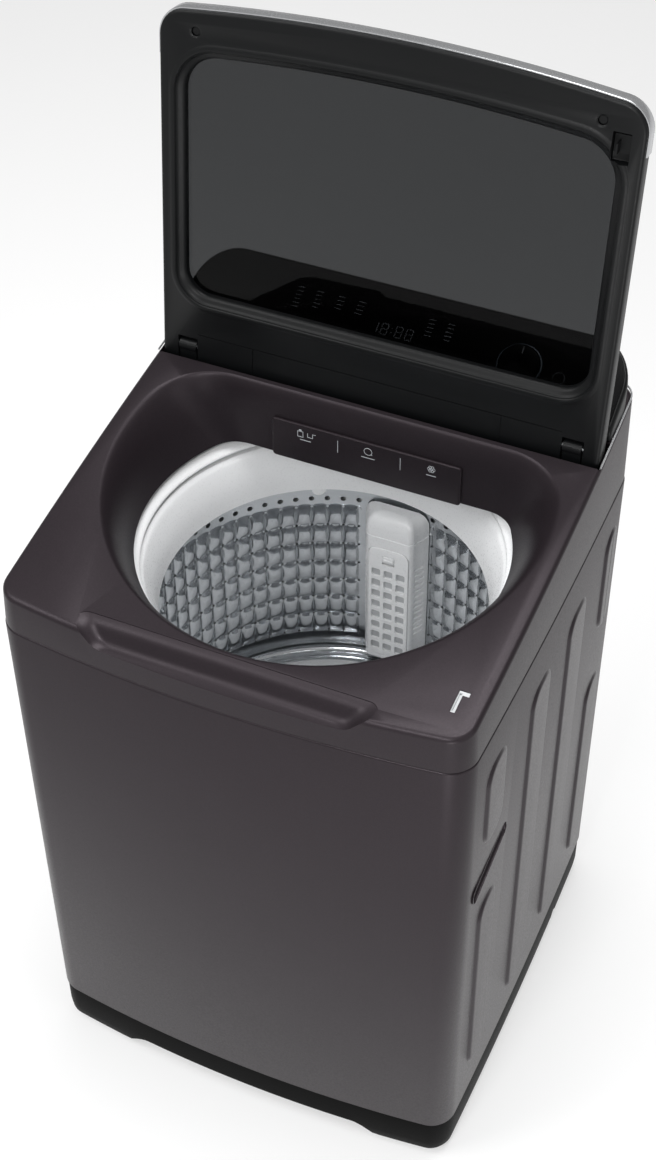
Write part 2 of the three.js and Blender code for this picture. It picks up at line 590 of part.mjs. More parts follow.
function buildConsoleHousing() {
  const lip = TRIM_H + FIT;
  const outer = loft([atHeight(consolePlan(0), onTop(lip)), atHeight(consolePlan(0), onPanel(4)),
    atHeight(consolePlan(1.2), onPanel(1)), atHeight(consolePlan(4), onPanel(0))]);
  const hollow = loft([atHeight(consolePlan(WALL + 2), onTop(lip - 2)),
    atHeight(consolePlan(WALL + 2), onPanel(PANEL_T + 3.5))]);
  const seat = loft([atHeight(consolePlan(PANEL_EDGE - FIT), onPanel(PANEL_T + FIT)),
    atHeight(consolePlan(PANEL_EDGE - FIT), onPanel(-10))]);
  const window = loft([atHeight(consolePlan(PANEL_EDGE + 6), onPanel(PANEL_T + 9)),
    atHeight(consolePlan(PANEL_EDGE + 6), onPanel(PANEL_T - 2))]);
  return cut(outer, hollow, seat, window);
}

const TRIM_H = 2.4;
const TRIM_T = 1.6;

// Bright strip on the joint between cover and console, open at the front.
function buildConsoleTrim() {
  const from = COVER_DRAFT + 0.2;
  const band = loft([atHeight(footprint(from), onTop(FIT)), atHeight(footprint(from), onTop(TRIM_H))]);
  const inner = loft([atHeight(footprint(from + TRIM_T), onTop(-5)), atHeight(footprint(from + TRIM_T), onTop(9))]);
  return cut(band, inner, box(-WIDTH, WIDTH, FRONT_Y - 99, TROUGH_FRONT, 0, 2 * SEAM_Z));
}

const PANEL_TURN = rad(CONSOLE_SLOPE);

// A round bar square to the control panel; from and to are heights above the glass.
function panelPost(x, y, r, from, to, sides = 32) {
  return new THREE.CylinderGeometry(r, r, to - from, sides).rotateX(Math.PI / 2).translate(0, 0, (from + to) / 2)
    .rotateX(PANEL_TURN).translate(x, y, panelZ(y));
}

function buildConsolePanel() {
  const glass = loft([atHeight(consolePlan(PANEL_EDGE), onPanel(PANEL_T)), atHeight(consolePlan(PANEL_EDGE), onPanel(0))]);
  return cut(glass, panelPost(DIAL_X, DIAL_Y, 5, -20, 20, 16));
}

function buildDial() {
  const knob = panelPost(DIAL_X, DIAL_Y, DIAL_R, 0.6, DIAL_H);
  return join(knob, panelPost(DIAL_X, DIAL_Y, 4, -12, 2, 16));
}

function buildControlBoard() {
  const half = WIDTH / 2 - 65;
  const y0 = CONSOLE_FRONT + 38;
  const y1 = REAR_Y - 30;
  const plan = [[-half, y0], [half, y0], [half, y1], [-half, y1]].map(([x, y]) => new THREE.Vector2(x, y));
  const board = loft([atHeight(plan, onPanel(PANEL_T + 17)), atHeight(plan, onPanel(PANEL_T + 14))]);
  return cut(board, panelPost(DIAL_X, DIAL_Y, 7, -40, 10, 16));
}

add('console_housing', buildConsoleHousing(), blackPlastic);
add('console_trim', buildConsoleTrim(), silver);
add('console_panel', buildConsolePanel(), smokedGlass);
add('control_board', buildControlBoard(), boardGreen);
add('dial', buildDial(), blackPlastic);

// ---- lid -------------------------------------------------------------------------------
// The lid is drawn upright, with its lower inner edge on the group's X axis, and leans back.
const lid = new THREE.Group();
lid.position.set(0, LID_FOOT_Y, LID_FOOT_Z);
lid.rotation.x = -rad(LID_LEAN);
machine.add(lid);

// Lid outline drawn in by inset: x across, y up the lid.
function lidPlan(inset) {
  const r = LID_CORNER_R - inset;
  const half = LID_HALF - inset;
  const rect = roundedRect(-half, half, -(LID_L - inset), -inset, [r, 4, 4, r], 4, 8);
  return bowed(rect, LID_BOW, 0).map((p) => new THREE.Vector2(p.x, -p.y)).reverse();
}

// An outline in the lid's plane, pushed back from depth d0 to d1 behind the inner face.
function lidPlate(points, d0, d1, holes = []) {
  return plate(points, -d1, -d0, holes).rotateX(Math.PI / 2);
}

function windowPlan(grow) {
  const r = WINDOW_R + grow;
  return roundedRect(-WINDOW_HALF - grow, WINDOW_HALF + grow, WINDOW_LOW - grow, WINDOW_HIGH + grow, [r, r, r, r], 5, 1);
}

const LID_TRIM_T = 1.6;
const TRIM_FROM = LID_L - 53;
const SCREWS = [[46 - LID_HALF, LID_L - 20], [LID_HALF - 50, LID_L - 22]];
const STRIKER_UP = LID_L - 47;

function buildLidFrame() {
  let frame = lidPlate(lidPlan(LID_TRIM_T + FIT), 0, LID_FRAME_T, [windowPlan(0)]);
  frame = join(frame, lidPlate(lidPlan(LID_TRIM_T + FIT), LID_FRAME_T - 1, LID_T, [lidPlan(LID_TRIM_T + FIT + 3)]));
  for (const side of [-1, 1]) {
    const x = side * NOTCH_X;
    frame = cut(frame, box(x - NOTCH_W / 2, x + NOTCH_W / 2, -5, LID_T + 5, -5, NOTCH_H),
      barX(x - NOTCH_W / 2 - 8, x + NOTCH_W / 2 + 8, PIVOT_BACK, PIVOT_UP, PIN_R + FIT));
  }
  for (const [x, up] of SCREWS) frame = cut(frame, barY(x, up, 5, -5, 7, 16));
  return cut(frame, box(LOCK_X - 7, LOCK_X + 13, -5, 10, STRIKER_UP - 17, STRIKER_UP + 17));
}

const GLASS_IN = LID_TRIM_T + 2 * FIT + 3;

function buildLidGlass() {
  const glass = lidPlate(lidPlan(GLASS_IN), LID_FRAME_T + FIT, LID_T);
  const notches = [-1, 1].map((side) => box(side * NOTCH_X - NOTCH_W / 2 - 2, side * NOTCH_X + NOTCH_W / 2 + 2,
    0, LID_T + 5, -5, NOTCH_H + 2));
  return cut(glass, ...notches);
}

function buildLidTrim() {
  const band = lidPlate(lidPlan(0), 4, LID_T, [lidPlan(LID_TRIM_T)]);
  return cut(band, box(-LID_HALF - 5, LID_HALF + 5, -5, LID_T + 5, -20, TRIM_FROM));
}

// Sheet hook: held in the pocket's floor side wall, its nose stands out of the inner face.
function buildStriker() {
  const x = LOCK_X - 0.25;
  const foot = box(x - 6, x + 12, 8, 9.6, STRIKER_UP - 8, STRIKER_UP + 12);
  return join(foot, box(x - 0.9, x + 0.9, -4, 9, STRIKER_UP - 6, STRIKER_UP + 6));
}

function buildHingePin(side) {
  const x = side * NOTCH_X;
  return barX(x - NOTCH_W / 2 - 7, x + NOTCH_W / 2 + 7, PIVOT_BACK, PIVOT_UP, PIN_R);
}

add('lid_frame', buildLidFrame(), blackPlastic, lid);
add('lid_glass', buildLidGlass(), smokedGlass, lid);
add('lid_trim', buildLidTrim(), silver, lid);
add('lid_striker', buildStriker(), zincSteel, lid);
for (const [k, word] of [[0, 'left'], [1, 'right']]) {
  const [x, up] = SCREWS[k];
  add(`lid_screw_${word}`, barY(x, up, 4.4, 3, 6.6, 16), zincSteel, lid);
  add(`hinge_pin_${word}`, buildHingePin(k * 2 - 1), zincSteel, lid);
}

lid.updateMatrixWorld(true);
const PIVOT = new THREE.Vector3(0, PIVOT_BACK, PIVOT_UP).applyMatrix4(lid.matrixWorld);

// Knuckle that stands in the trough and carries the hinge pin.
function buildHingeBracket(side) {
  const half = NOTCH_W / 2 - 2;
  const x = side * NOTCH_X;
  const boss = barX(x - half, x + half, PIVOT.y, PIVOT.z, 8, 24);
  const floor = topZ(PIVOT.y) - TROUGH_DEPTH + 1;
  const web = box(x - half, x + half, PIVOT.y - 6.5, PIVOT.y + 6.5, floor, PIVOT.z);
  const foot = slopedSlab(x - half, x + half, PIVOT.y - 7, PIVOT.y + 20, -TROUGH_DEPTH + 4, TROUGH_DEPTH - FIT);
  return cut(join(web, boss, foot), barX(x - half - 5, x + half + 5, PIVOT.y, PIVOT.z, PIN_R + FIT));
}

add('hinge_bracket_left', buildHingeBracket(-1), blackPlastic);
add('hinge_bracket_right', buildHingeBracket(1), blackPlastic);

// ---- tub -------------------------------------------------------------------------------
const TUB_OUT = TUB_R + WALL;
const TUB_TOP = RING_TOP - 14;
const SHAFT_R = 18;

function buildOuterTub() {
  const profile = [[32, TUB_FLOOR], [TUB_OUT, TUB_FLOOR], [TUB_OUT, TUB_TOP], [TUB_R, TUB_TOP],
    [TUB_R, TUB_FLOOR + 4], [32, TUB_FLOOR + 4]];
  let tub = turned(profile);
  for (const y of ROD_Y) {
    for (const side of [-1, 1]) {
      const reach = Math.hypot(ROD_X, y);
      const arm = box(-24, 24, TUB_R - 40, reach + 20, LUG_Z, LUG_Z + 14);
      arm.rotateZ(-Math.atan2(side * ROD_X, y));
      tub = join(tub, cut(arm, turned([[0, LUG_Z - 9], [TUB_R + 1, LUG_Z - 9], [TUB_R + 1, LUG_Z + 30], [0, LUG_Z + 30]])));
      tub = cut(tub, post(side * ROD_X, y, ROD_R + 3, LUG_Z - 9, LUG_Z + 30, 16));
    }
  }
  return tub;
}

// Ring on the tub: a flat top, a slope to its inner edge, and a skirt inside the tub's wall.
function buildTubRing() {
  const gap = FIT;
  return turned([[RING_INNER_R, RIDGE_Z], [RING_INNER_R + 12, RING_TOP], [TUB_OUT + 3, RING_TOP],
    [TUB_OUT + 3, RING_TOP - 10], [TUB_OUT, TUB_TOP + gap], [TUB_R - 1, TUB_TOP + gap],
    [TUB_R - 1, RING_TOP - 11], [RING_INNER_R + 12, RING_TOP - 4], [RING_INNER_R + 1.5, RIDGE_Z - 2.5]]);
}

function buildTubFrame() {
  const z1 = TUB_FLOOR - FIT;
  const bed = box(-150, 150, -150, MOTOR_Y + MOTOR_R + 14, z1 - TUB_FRAME_T, z1);
  return cut(bed, post(0, 0, 70 + FIT, z1 - 30, z1 + 9, 32));
}

const FRAME_UNDER = TUB_FLOOR - FIT - TUB_FRAME_T;

function buildGearcase() {
  const z1 = TUB_FLOOR - FIT;
  const low = PULLEY_TOP + 12;
  const body = turned([[0, low], [38, low], [56, low + 22], [70, low + 60], [70, z1], [0, z1]], 0, 0, 32);
  return cut(body, post(0, 0, SHAFT_R + 1, z1 - 50, z1 + 9), post(0, 0, 9, low - 5, low + 60, 16));
}

function buildMotor() {
  const z1 = FRAME_UNDER - FIT;
  const low = PULLEY_TOP + 14;
  const body = turned([[0, low], [30, low], [MOTOR_R, low + 14], [MOTOR_R, z1], [0, z1]], 0, MOTOR_Y, 28);
  return cut(body, post(0, MOTOR_Y, 8, low - 5, low + 40, 16));
}

// A grooved pulley with its shaft, on the axis (0, y).
function buildPulley(y, r, shaftUp) {
  const z0 = PULLEY_TOP - PULLEY_H;
  const rim = turned([[0, z0], [r, z0], [r - 5, z0 + 4], [r - 5, PULLEY_TOP - 4], [r, PULLEY_TOP], [0, PULLEY_TOP]],
    0, y, 32);
  return join(rim, post(0, y, 7, PULLEY_TOP - 2, PULLEY_TOP + shaftUp, 16));
}

function buildBelt() {
  const z0 = PULLEY_TOP - PULLEY_H + 5;
  const z1 = PULLEY_TOP - 5;
  const loop = (grow) => {
    const big = PULLEY_R - 5 + grow;
    const small = MOTOR_PULLEY_R - 5 + grow;
    const lean = Math.asin((big - small) / MOTOR_Y);
    const points = [];
    for (let i = 0; i <= 10; i += 1) {
      const angle = lean + (Math.PI - 2 * lean) * i / 10;
      points.push(new THREE.Vector2(small * Math.cos(angle), MOTOR_Y + small * Math.sin(angle)));
    }
    for (let i = 0; i <= 22; i += 1) {
      const angle = Math.PI - lean + (Math.PI + 2 * lean) * i / 22;
      points.push(new THREE.Vector2(big * Math.cos(angle), big * Math.sin(angle)));
    }
    return points;
  };
  return plate(loop(3.6), z0, z1, [loop(0.6)]);
}

function buildDrainValve() {
  const z1 = FRAME_UNDER - FIT;
  const body = box(-148, -92, 60, 130, z1 - 44, z1);
  return join(body, barY(-120, z1 - 22, 15, 125, 160));
}

add('outer_tub', buildOuterTub(), whitePlastic);
add('tub_cover_ring', buildTubRing(), whitePlastic);
add('tub_frame', buildTubFrame(), zincSteel);
add('gearcase', buildGearcase(), castAluminium);
add('motor', buildMotor(), castAluminium);
add('drain_valve', buildDrainValve(), blackPlastic);
add('drive_belt', buildBelt(), rubber);
add('drive_pulley', buildPulley(0, PULLEY_R, 60), castAluminium);
add('motor_pulley', buildPulley(MOTOR_Y, MOTOR_PULLEY_R, 44), zincSteel);

// Suspension: a rod hung from each gusset, a nut below, and a spring between nut and lug.
function buildRod(x, y) {
  const head = turned([[0, GUSSET_Z + 4 + FIT], [13, GUSSET_Z + 4 + FIT], [9, GUSSET_Z + 13], [0, GUSSET_Z + 13]],
    x, y, 16);
  const low = LUG_Z - FIT - SPRING_L - FIT;
  return join(head, post(x, y, ROD_R, low - 5, GUSSET_Z + 6, 12), post(x, y, SPRING_R + 1, low - 8, low, 16));
}

function buildSpring(x, y) {
  const z1 = LUG_Z - FIT;
  const z0 = z1 - SPRING_L;
  return turned([[SPRING_R - 5, z0], [SPRING_R, z0], [SPRING_R, z1], [SPRING_R - 5, z1]], x, y, 12);
}

for (const [row, y] of ROD_Y.entries()) {
  for (const [side, word] of [[-1, 'left'], [1, 'right']]) {
    const place = `${row === 0 ? 'front' : 'rear'}_${word}`;
    add(`suspension_rod_${place}`, buildRod(side * ROD_X, y), zincSteel);
    add(`suspension_spring_${place}`, buildSpring(side * ROD_X, y), zincSteel);
  }
}

// ---- drum ------------------------------------------------------------------------------
const DRUM_OUT = DRUM_R + SHEET;

function buildBasket() {
  return turned([[60, FLOOR_Z - SHEET], [DRUM_R - 8, FLOOR_Z - SHEET], [DRUM_OUT, FLOOR_Z + 8], [DRUM_OUT, RIM_Z],
    [DRUM_R, RIM_Z], [DRUM_R, FLOOR_Z + 8.5], [DRUM_R - 8.5, FLOOR_Z], [60, FLOOR_Z]]);
}

function buildBalanceRing() {
  const out = DRUM_OUT + 6;
  return turned([[BALANCE_LIP_R, RIM_Z + FIT], [out, RIM_Z + FIT], [out, BALANCE_TOP], [BALANCE_TOP_R + 4, BALANCE_TOP],
    [BALANCE_TOP_R, BALANCE_TOP - 5], [BALANCE_LIP_R + 2, RIM_Z + 16]]);
}

function buildHub() {
  const z1 = FLOOR_Z - SHEET - FIT;
  const flange = turned([[0, z1 - 30], [SHAFT_R, z1 - 30], [90, z1 - 8], [90, z1], [0, z1]], 0, 0, 32);
  const seat = turned([[0, z1 - 2], [58, z1 - 2], [58, FLOOR_Z + 1], [0, FLOOR_Z + 1]], 0, 0, 32);
  const sleeve = post(0, 0, SHAFT_R, TUB_FLOOR - 44, z1 - 20);
  return cut(join(flange, seat, sleeve), post(0, 0, 9, TUB_FLOOR - 60, FLOOR_Z + 9, 16));
}

function buildPulsator() {
  const z0 = FLOOR_Z + 4;
  const dome = turned([[0, z0], [PULSATOR_R - 6, z0], [PULSATOR_R, z0 + 4], [PULSATOR_R, z0 + 9],
    [PULSATOR_R - 30, z0 + 16], [90, z0 + 22], [55, z0 + PULSATOR_DOME], [20, z0 + PULSATOR_DOME + 8],
    [0, z0 + PULSATOR_DOME + 9]]);
  const vanes = [0, 1, 2].map((k) => {
    const plan = roundedRect(30, PULSATOR_R - 22, -11, 11, [9, 9, 9, 9], 3, 1);
    return plate(plan, z0 + 2, z0 + 30).rotateZ(k * 2 * Math.PI / 3 + 0.5);
  });
  return join(dome, ...vanes, post(0, 0, 8, TUB_FLOOR - 42, z0 + 2, 16));
}

const FILTER_Z = FLOOR_Z + FILTER_UP;
const FILTER_Y = DRUM_R - FILTER_FRONT;
const FACET_SAG = DRUM_R * (1 - Math.cos(Math.PI / SEG));
const FILTER_REAR_Y = Math.sqrt(DRUM_R ** 2 - FILTER_BACK_HALF ** 2) - FACET_SAG - FIT;

function filterBlock(inset, z0, z1) {
  const back = FILTER_REAR_Y - inset;
  const face = FILTER_Y + inset;
  const plan = (h) => [[-FILTER_FACE_HALF + inset, face], [FILTER_FACE_HALF - inset, face],
    [FILTER_BACK_HALF - inset, back], [-FILTER_BACK_HALF + inset, back]].map(([x, y]) => new THREE.Vector3(x, y, h));
  return loft([plan(z0), plan(z1)]);
}

const DOOR_Z = FILTER_Z + 10;

function buildFilterHousing() {
  const top = FILTER_Z + FILTER_H;
  const crown = loft([[0, 0], [14, 7], [22, 16]].map(([up, back]) => [[-FILTER_FACE_HALF + back / 2, FILTER_Y + back],
    [FILTER_FACE_HALF - back / 2, FILTER_Y + back], [FILTER_BACK_HALF - back / 2, FILTER_REAR_Y],
    [-FILTER_BACK_HALF + back / 2, FILTER_REAR_Y]].map(([x, y]) => new THREE.Vector3(x, y, top + up))));
  const shell = join(filterBlock(0, FILTER_Z, top + 0.01), crown);
  const door = FILTER_DOOR_HALF + FIT;
  return cut(shell, filterBlock(2.4, FILTER_Z + 2.4, top - 4),
    box(-door, door, FILTER_Y - 5, FILTER_Y + 5, DOOR_Z - FIT, DOOR_Z + FILTER_DOOR_H + FIT));
}

function buildFilterDoor() {
  const y1 = FILTER_Y + 2.4;
  let door = box(-FILTER_DOOR_HALF, FILTER_DOOR_HALF, FILTER_Y - 0.8, y1, DOOR_Z, DOOR_Z + FILTER_DOOR_H);
  for (let row = 0; row < 8; row += 1) {
    for (let column = -1; column <= 1; column += 1) {
      const x = column * 17;
      const z = DOOR_Z + 16 + row * 19;
      door = cut(door, box(x - 5, x + 5, FILTER_Y - 5, y1 + 5, z - 5.5, z + 5.5));
    }
  }
  return cut(door, latchBox(FIT, 3, LATCH_TRAVEL));
}

// Slide catch near the top of the filter's door.
function latchBox(grow, through, travel) {
  const z = DOOR_Z + FILTER_DOOR_H - 17;
  const y = FILTER_Y - 0.2;
  return box(-8 - grow, 8 + grow, y - 1.8 - through, y + 1.8 + through, z - 5 - grow - travel, z + 5 + grow);
}

add('drum_basket', buildBasket(), stainless);
add('balance_ring', buildBalanceRing(), whitePlastic);
add('drum_hub', buildHub(), castAluminium);
add('pulsator', buildPulsator(), whitePlastic);
add('filter_housing', buildFilterHousing(), whitePlastic);
add('filter_door', buildFilterDoor(), whitePlastic);
add('filter_latch', latchBox(0, 0, 0), whitePlastic);

export default machine;
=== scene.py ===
"""Top load washing machine with its lid open: the visual model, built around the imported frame.

Sizes are in millimetres and angles in degrees unless a name says otherwise. The frame is the
part's own: +Z up, +Y to the rear, +X to the right of someone who faces the machine.
"""
import logging
import math
from dataclasses import dataclass, field
from enum import Enum
from typing import Optional, Sequence

import bmesh
import bpy
from mathutils import Matrix, Vector


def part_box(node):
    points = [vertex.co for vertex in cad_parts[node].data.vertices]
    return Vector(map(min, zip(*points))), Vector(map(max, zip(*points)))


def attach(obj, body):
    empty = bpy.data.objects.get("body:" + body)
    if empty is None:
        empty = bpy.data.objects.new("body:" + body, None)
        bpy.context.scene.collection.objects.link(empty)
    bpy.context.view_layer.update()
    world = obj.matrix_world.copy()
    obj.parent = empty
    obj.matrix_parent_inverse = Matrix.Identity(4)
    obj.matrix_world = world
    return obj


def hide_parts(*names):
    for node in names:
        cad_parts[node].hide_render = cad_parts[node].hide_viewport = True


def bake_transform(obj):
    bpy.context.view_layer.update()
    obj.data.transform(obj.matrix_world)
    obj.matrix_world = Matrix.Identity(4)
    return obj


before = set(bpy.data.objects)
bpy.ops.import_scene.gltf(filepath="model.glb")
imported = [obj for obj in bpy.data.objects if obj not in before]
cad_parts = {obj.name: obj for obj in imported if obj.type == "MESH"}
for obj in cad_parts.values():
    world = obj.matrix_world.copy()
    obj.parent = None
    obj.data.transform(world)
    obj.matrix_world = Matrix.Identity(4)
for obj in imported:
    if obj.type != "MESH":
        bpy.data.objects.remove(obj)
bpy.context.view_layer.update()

log = logging.getLogger("washer")
MM = 0.001
Point = tuple[float, float]
Point3 = tuple[float, float, float]
Obj = bpy.types.Object
Material = bpy.types.Material


# ---- sizes read from the frame ------------------------------------------------------------
def node_box(node: str) -> tuple[Vector, Vector]:
    """Box of a CAD node at rest.

    Args:
        node: the node's name.

    Returns:
        Its lowest and highest corners, in millimetres.
    """
    low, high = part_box(node)
    return low / MM, high / MM


SHELL_LOW, SHELL_HIGH = node_box("cabinet_shell")
RING_HIGH = node_box("tub_cover_ring")[1]
BALANCE_LOW, BALANCE_HIGH = node_box("balance_ring")
BASKET_LOW, BASKET_HIGH = node_box("drum_basket")
FACE_LOW, FACE_HIGH = node_box("drawer_face")
PANEL_HIGH = node_box("console_panel")[1]
FILTER_LOW, FILTER_HIGH = node_box("filter_housing")
DOOR_LOW, DOOR_HIGH = node_box("filter_door")
LATCH_LOW, LATCH_HIGH = node_box("filter_latch")
LOCK_LOW, LOCK_HIGH = node_box("lid_lock")
BASKET_FLOOR = BASKET_LOW.z + 1.2         # upper face of the basket's floor


@dataclass(frozen=True)
class Body:
    """Sizes that several sub-assemblies share."""

    half_width: float = 280.0     # to the cabinet's vertical corners
    front: float = -260.0         # plane of the front corners
    rear: float = 280.0
    front_bow: float = 20.0
    side_bow: float = 4.0
    corner: float = 28.0
    seam: float = SHELL_HIGH.z    # joint between the cabinet and the top cover
    bottom: float = SHELL_LOW.z
    cover_front: float = 48.0     # cover above the seam at the front corners
    slope: float = 8.1            # degrees that the cover rises to the rear
    draft: float = 3.0            # the cover's top edge stands in by this
    wall: float = 3.0

    def top(self, y: float) -> float:
        """Height of the top cover's surface at a depth y."""
        return self.seam + self.cover_front + math.tan(math.radians(self.slope)) * (y - self.front)


BODY = Body()


# ---- outlines -----------------------------------------------------------------------------
def rounded_rect(x0: float, x1: float, y0: float, y1: float, radii: Sequence[float],
                 arc: int = 8, edge: int = 12) -> list[Point]:
    """Anticlockwise rounded rectangle.

    Args:
        x0, x1, y0, y1: its sides.
        radii: corner radii, in the order front right, rear right, rear left, front left.
        arc: steps round each corner.
        edge: steps along each side.

    Returns:
        Its points.
    """
    fr, rr, rl, fl = radii
    corners = [(x1 - fr, y0 + fr, fr, -90), (x1 - rr, y1 - rr, rr, 0),
               (x0 + rl, y1 - rl, rl, 90), (x0 + fl, y0 + fl, fl, 180)]
    points: list[Point] = []
    for k, (cx, cy, r, start) in enumerate(corners):
        for i in range(arc + 1):
            a = math.radians(start + 90 * i / arc)
            points.append((cx + r * math.cos(a), cy + r * math.sin(a)))
        nx, ny, nr, turn = corners[(k + 1) % 4]
        a = math.radians(turn)
        end = (nx + nr * math.cos(a), ny + nr * math.sin(a))
        x, y = points[-1]
        points += [(x + (end[0] - x) * i / edge, y + (end[1] - y) * i / edge) for i in range(1, edge)]
    return points


def bowed(points: Sequence[Point], front: float, side: float) -> list[Point]:
    """Bows the low-Y side and both X sides of an outline.

    Args:
        points: the outline.
        front: how far the low-Y side stands out in its middle.
        side: how far each X side stands out in its middle.

    Returns:
        The bowed outline.
    """
    xs = [p[0] for p in points]
    ys = [p[1] for p in points]
    mx, hx = (max(xs) + min(xs)) / 2, (max(xs) - min(xs)) / 2
    my, hy = (max(ys) + min(ys)) / 2, (max(ys) - min(ys)) / 2
    out = []
    for x, y in points:
        u, v = (x - mx) / hx, (y - my) / hy
        out.append((x + side * u * (1 - v * v), y - front * (1 - u * u) * max(0.0, -v) ** 2))
    return out


def footprint(inset: float) -> list[Point]:
    """Plan of the machine, drawn in by inset."""
    r = max(BODY.corner - inset, 2.0)
    half = BODY.half_width - inset
    rect = rounded_rect(-half, half, BODY.front + inset, BODY.rear - inset, [r] * 4, arc=10, edge=24)
    return bowed(rect, BODY.front_bow, BODY.side_bow)


def side_x(y: float) -> float:
    """Half width of the cabinet's skin at a depth y."""
    v = (y - (BODY.front + BODY.rear) / 2) / ((BODY.rear - BODY.front) / 2)
    return BODY.half_width + BODY.side_bow * (1 - v * v)


def ease(t: float) -> float:
    """Quarter round from 0 to 1 that ends upright."""
    t = min(max(t, 0.0), 1.0)
    return 1 - math.sqrt(1 - t * t)


def soft_step(t: float) -> float:
    """Smooth rise from 0 to 1."""
    t = min(max(t, 0.0), 1.0)
    return t * t * (3 - 2 * t)


# ---- work on meshes -----------------------------------------------------------------------
SOFT_ANGLE = 40.0                 # degrees: flatter edges aren't bevelled
SOFT_STEPS = 2                    # steps round each bevelled edge


def pick(piece: Obj) -> None:
    """Makes one object the only selected and the active one."""
    if bpy.context.mode != "OBJECT":
        bpy.ops.object.mode_set(mode="OBJECT")
    bpy.ops.object.select_all(action="DESELECT")
    piece.hide_set(False)
    piece.select_set(True)
    bpy.context.view_layer.objects.active = piece


def added(name: str) -> Obj:
    """Names the primitive that was just added and returns it."""
    piece = bpy.context.active_object
    piece.name = name
    piece.data.name = name
    return piece


def skinned(name: str, rings: Sequence[Sequence[Point3]], wrap: bool = False) -> Obj:
    """Skins rings of as many points each: one circle is extruded from ring to ring.

    Args:
        name: the new piece's name.
        rings: the rings, in order.
        wrap: joins the last ring to the first; otherwise both ends are capped.

    Returns:
        The closed piece.
    """
    bpy.ops.object.select_all(action="DESELECT")
    bpy.ops.mesh.primitive_circle_add(vertices=len(rings[0]), radius=1.0, fill_type="NOTHING")
    piece = added(name)
    bpy.ops.object.mode_set(mode="EDIT")
    mesh = bmesh.from_edit_mesh(piece.data)
    step = mesh.verts.layers.int.new("step")
    for k, vert in enumerate(mesh.verts):
        vert[step] = k
    for k, ring in enumerate(rings):
        if k > 0:
            bpy.ops.mesh.extrude_region_move()
            mesh = bmesh.from_edit_mesh(piece.data)
            step = mesh.verts.layers.int["step"]
        for vert in mesh.verts:
            if vert.select:
                vert.co = Vector(ring[vert[step]]) * MM
    bpy.ops.mesh.select_all(action="DESELECT")
    bpy.ops.mesh.select_mode(type="EDGE")
    bpy.ops.mesh.select_non_manifold(extend=False)
    if wrap:
        bpy.ops.mesh.bridge_edge_loops()
    else:
        bpy.ops.mesh.edge_face_add()
    bpy.ops.mesh.select_all(action="SELECT")
    bpy.ops.mesh.normals_make_consistent(inside=False)
    bpy.ops.object.mode_set(mode="OBJECT")
    return piece


def turned(name: str, profile: Sequence[Point], steps: int = 96, x: float = 0.0, y: float = 0.0,
           wrap: bool = True) -> Obj:
    """Turns a profile round an upright axis.

    Args:
        name: the new piece's name.
        profile: radius and height of each point.
        steps: facets round the axis.
        x, y: the axis.
        wrap: closes the profile on itself; otherwise its two ends are capped.

    Returns:
        The closed piece.
    """
    turn = [2 * math.pi * i / steps for i in range(steps)]
    rings = [[(x + r * math.cos(a), y + r * math.sin(a), z) for a in turn] for r, z in profile]
    return skinned(name, rings, wrap)


def filleted(points: Sequence[Point], radius: float, steps: int = 4) -> list[Point]:
    """Rounds the corners of a closed profile.

    Args:
        points: the profile's corners.
        radius: the largest radius; a short side limits it.
        steps: steps round each corner.

    Returns:
        The rounded profile.
    """
    out: list[Point] = []
    for i, here in enumerate(points):
        at = Vector(here)
        before = Vector(points[i - 1]) - at
        after = Vector(points[(i + 1) % len(points)]) - at
        reach = min(radius, before.length * 0.45, after.length * 0.45)
        start, end = at + before.normalized() * reach, at + after.normalized() * reach
        for k in range(steps + 1):
            t = k / steps
            p = start * (1 - t) ** 2 + at * 2 * t * (1 - t) + end * t * t
            out.append((p.x, p.y))
    return out


def face_plate(name: str, low: Vector, high: Vector, radii: Sequence[float]) -> Obj:
    """An upright plate that fills a box centred on X, with a rounded front rim.

    Args:
        name: the new piece's name.
        low, high: the box's corners.
        radii: corner radii, in the order of rounded_rect.

    Returns:
        The closed piece.
    """
    outline = rounded_rect(low.x, high.x, low.z, high.z, radii, arc=6, edge=1)
    middle = (low.z + high.z) / 2
    rings = []
    for inset, y in ((0.0, high.y), (0.0, low.y + 0.9), (0.3, low.y + 0.3), (1.0, low.y)):
        rings.append([(x * (1 - inset / high.x), y, z + (inset if z < middle else -inset))
                      for x, z in outline])
    return skinned(name, rings)


def softened(piece: Obj, width: float) -> Obj:
    """Bevels every edge of a piece that turns by more than SOFT_ANGLE."""
    pick(piece)
    bevel = piece.modifiers.new("soft", "BEVEL")
    bevel.width = width * MM
    bevel.segments = SOFT_STEPS
    bevel.limit_method = "ANGLE"
    bevel.angle_limit = math.radians(SOFT_ANGLE)
    bevel.use_clamp_overlap = True
    bpy.ops.object.modifier_apply(modifier=bevel.name)
    return piece


def block(name: str, low: Sequence[float], high: Sequence[float], soft: float = 0.0) -> Obj:
    """A block between two corners, with softened edges."""
    bpy.ops.object.select_all(action="DESELECT")
    middle = [(a + b) / 2 * MM for a, b in zip(low, high)]
    bpy.ops.mesh.primitive_cube_add(size=1.0, location=middle)
    piece = added(name)
    piece.scale = [(b - a) * MM for a, b in zip(low, high)]
    bpy.ops.object.transform_apply(location=True, rotation=True, scale=True)
    return softened(piece, soft) if soft else piece


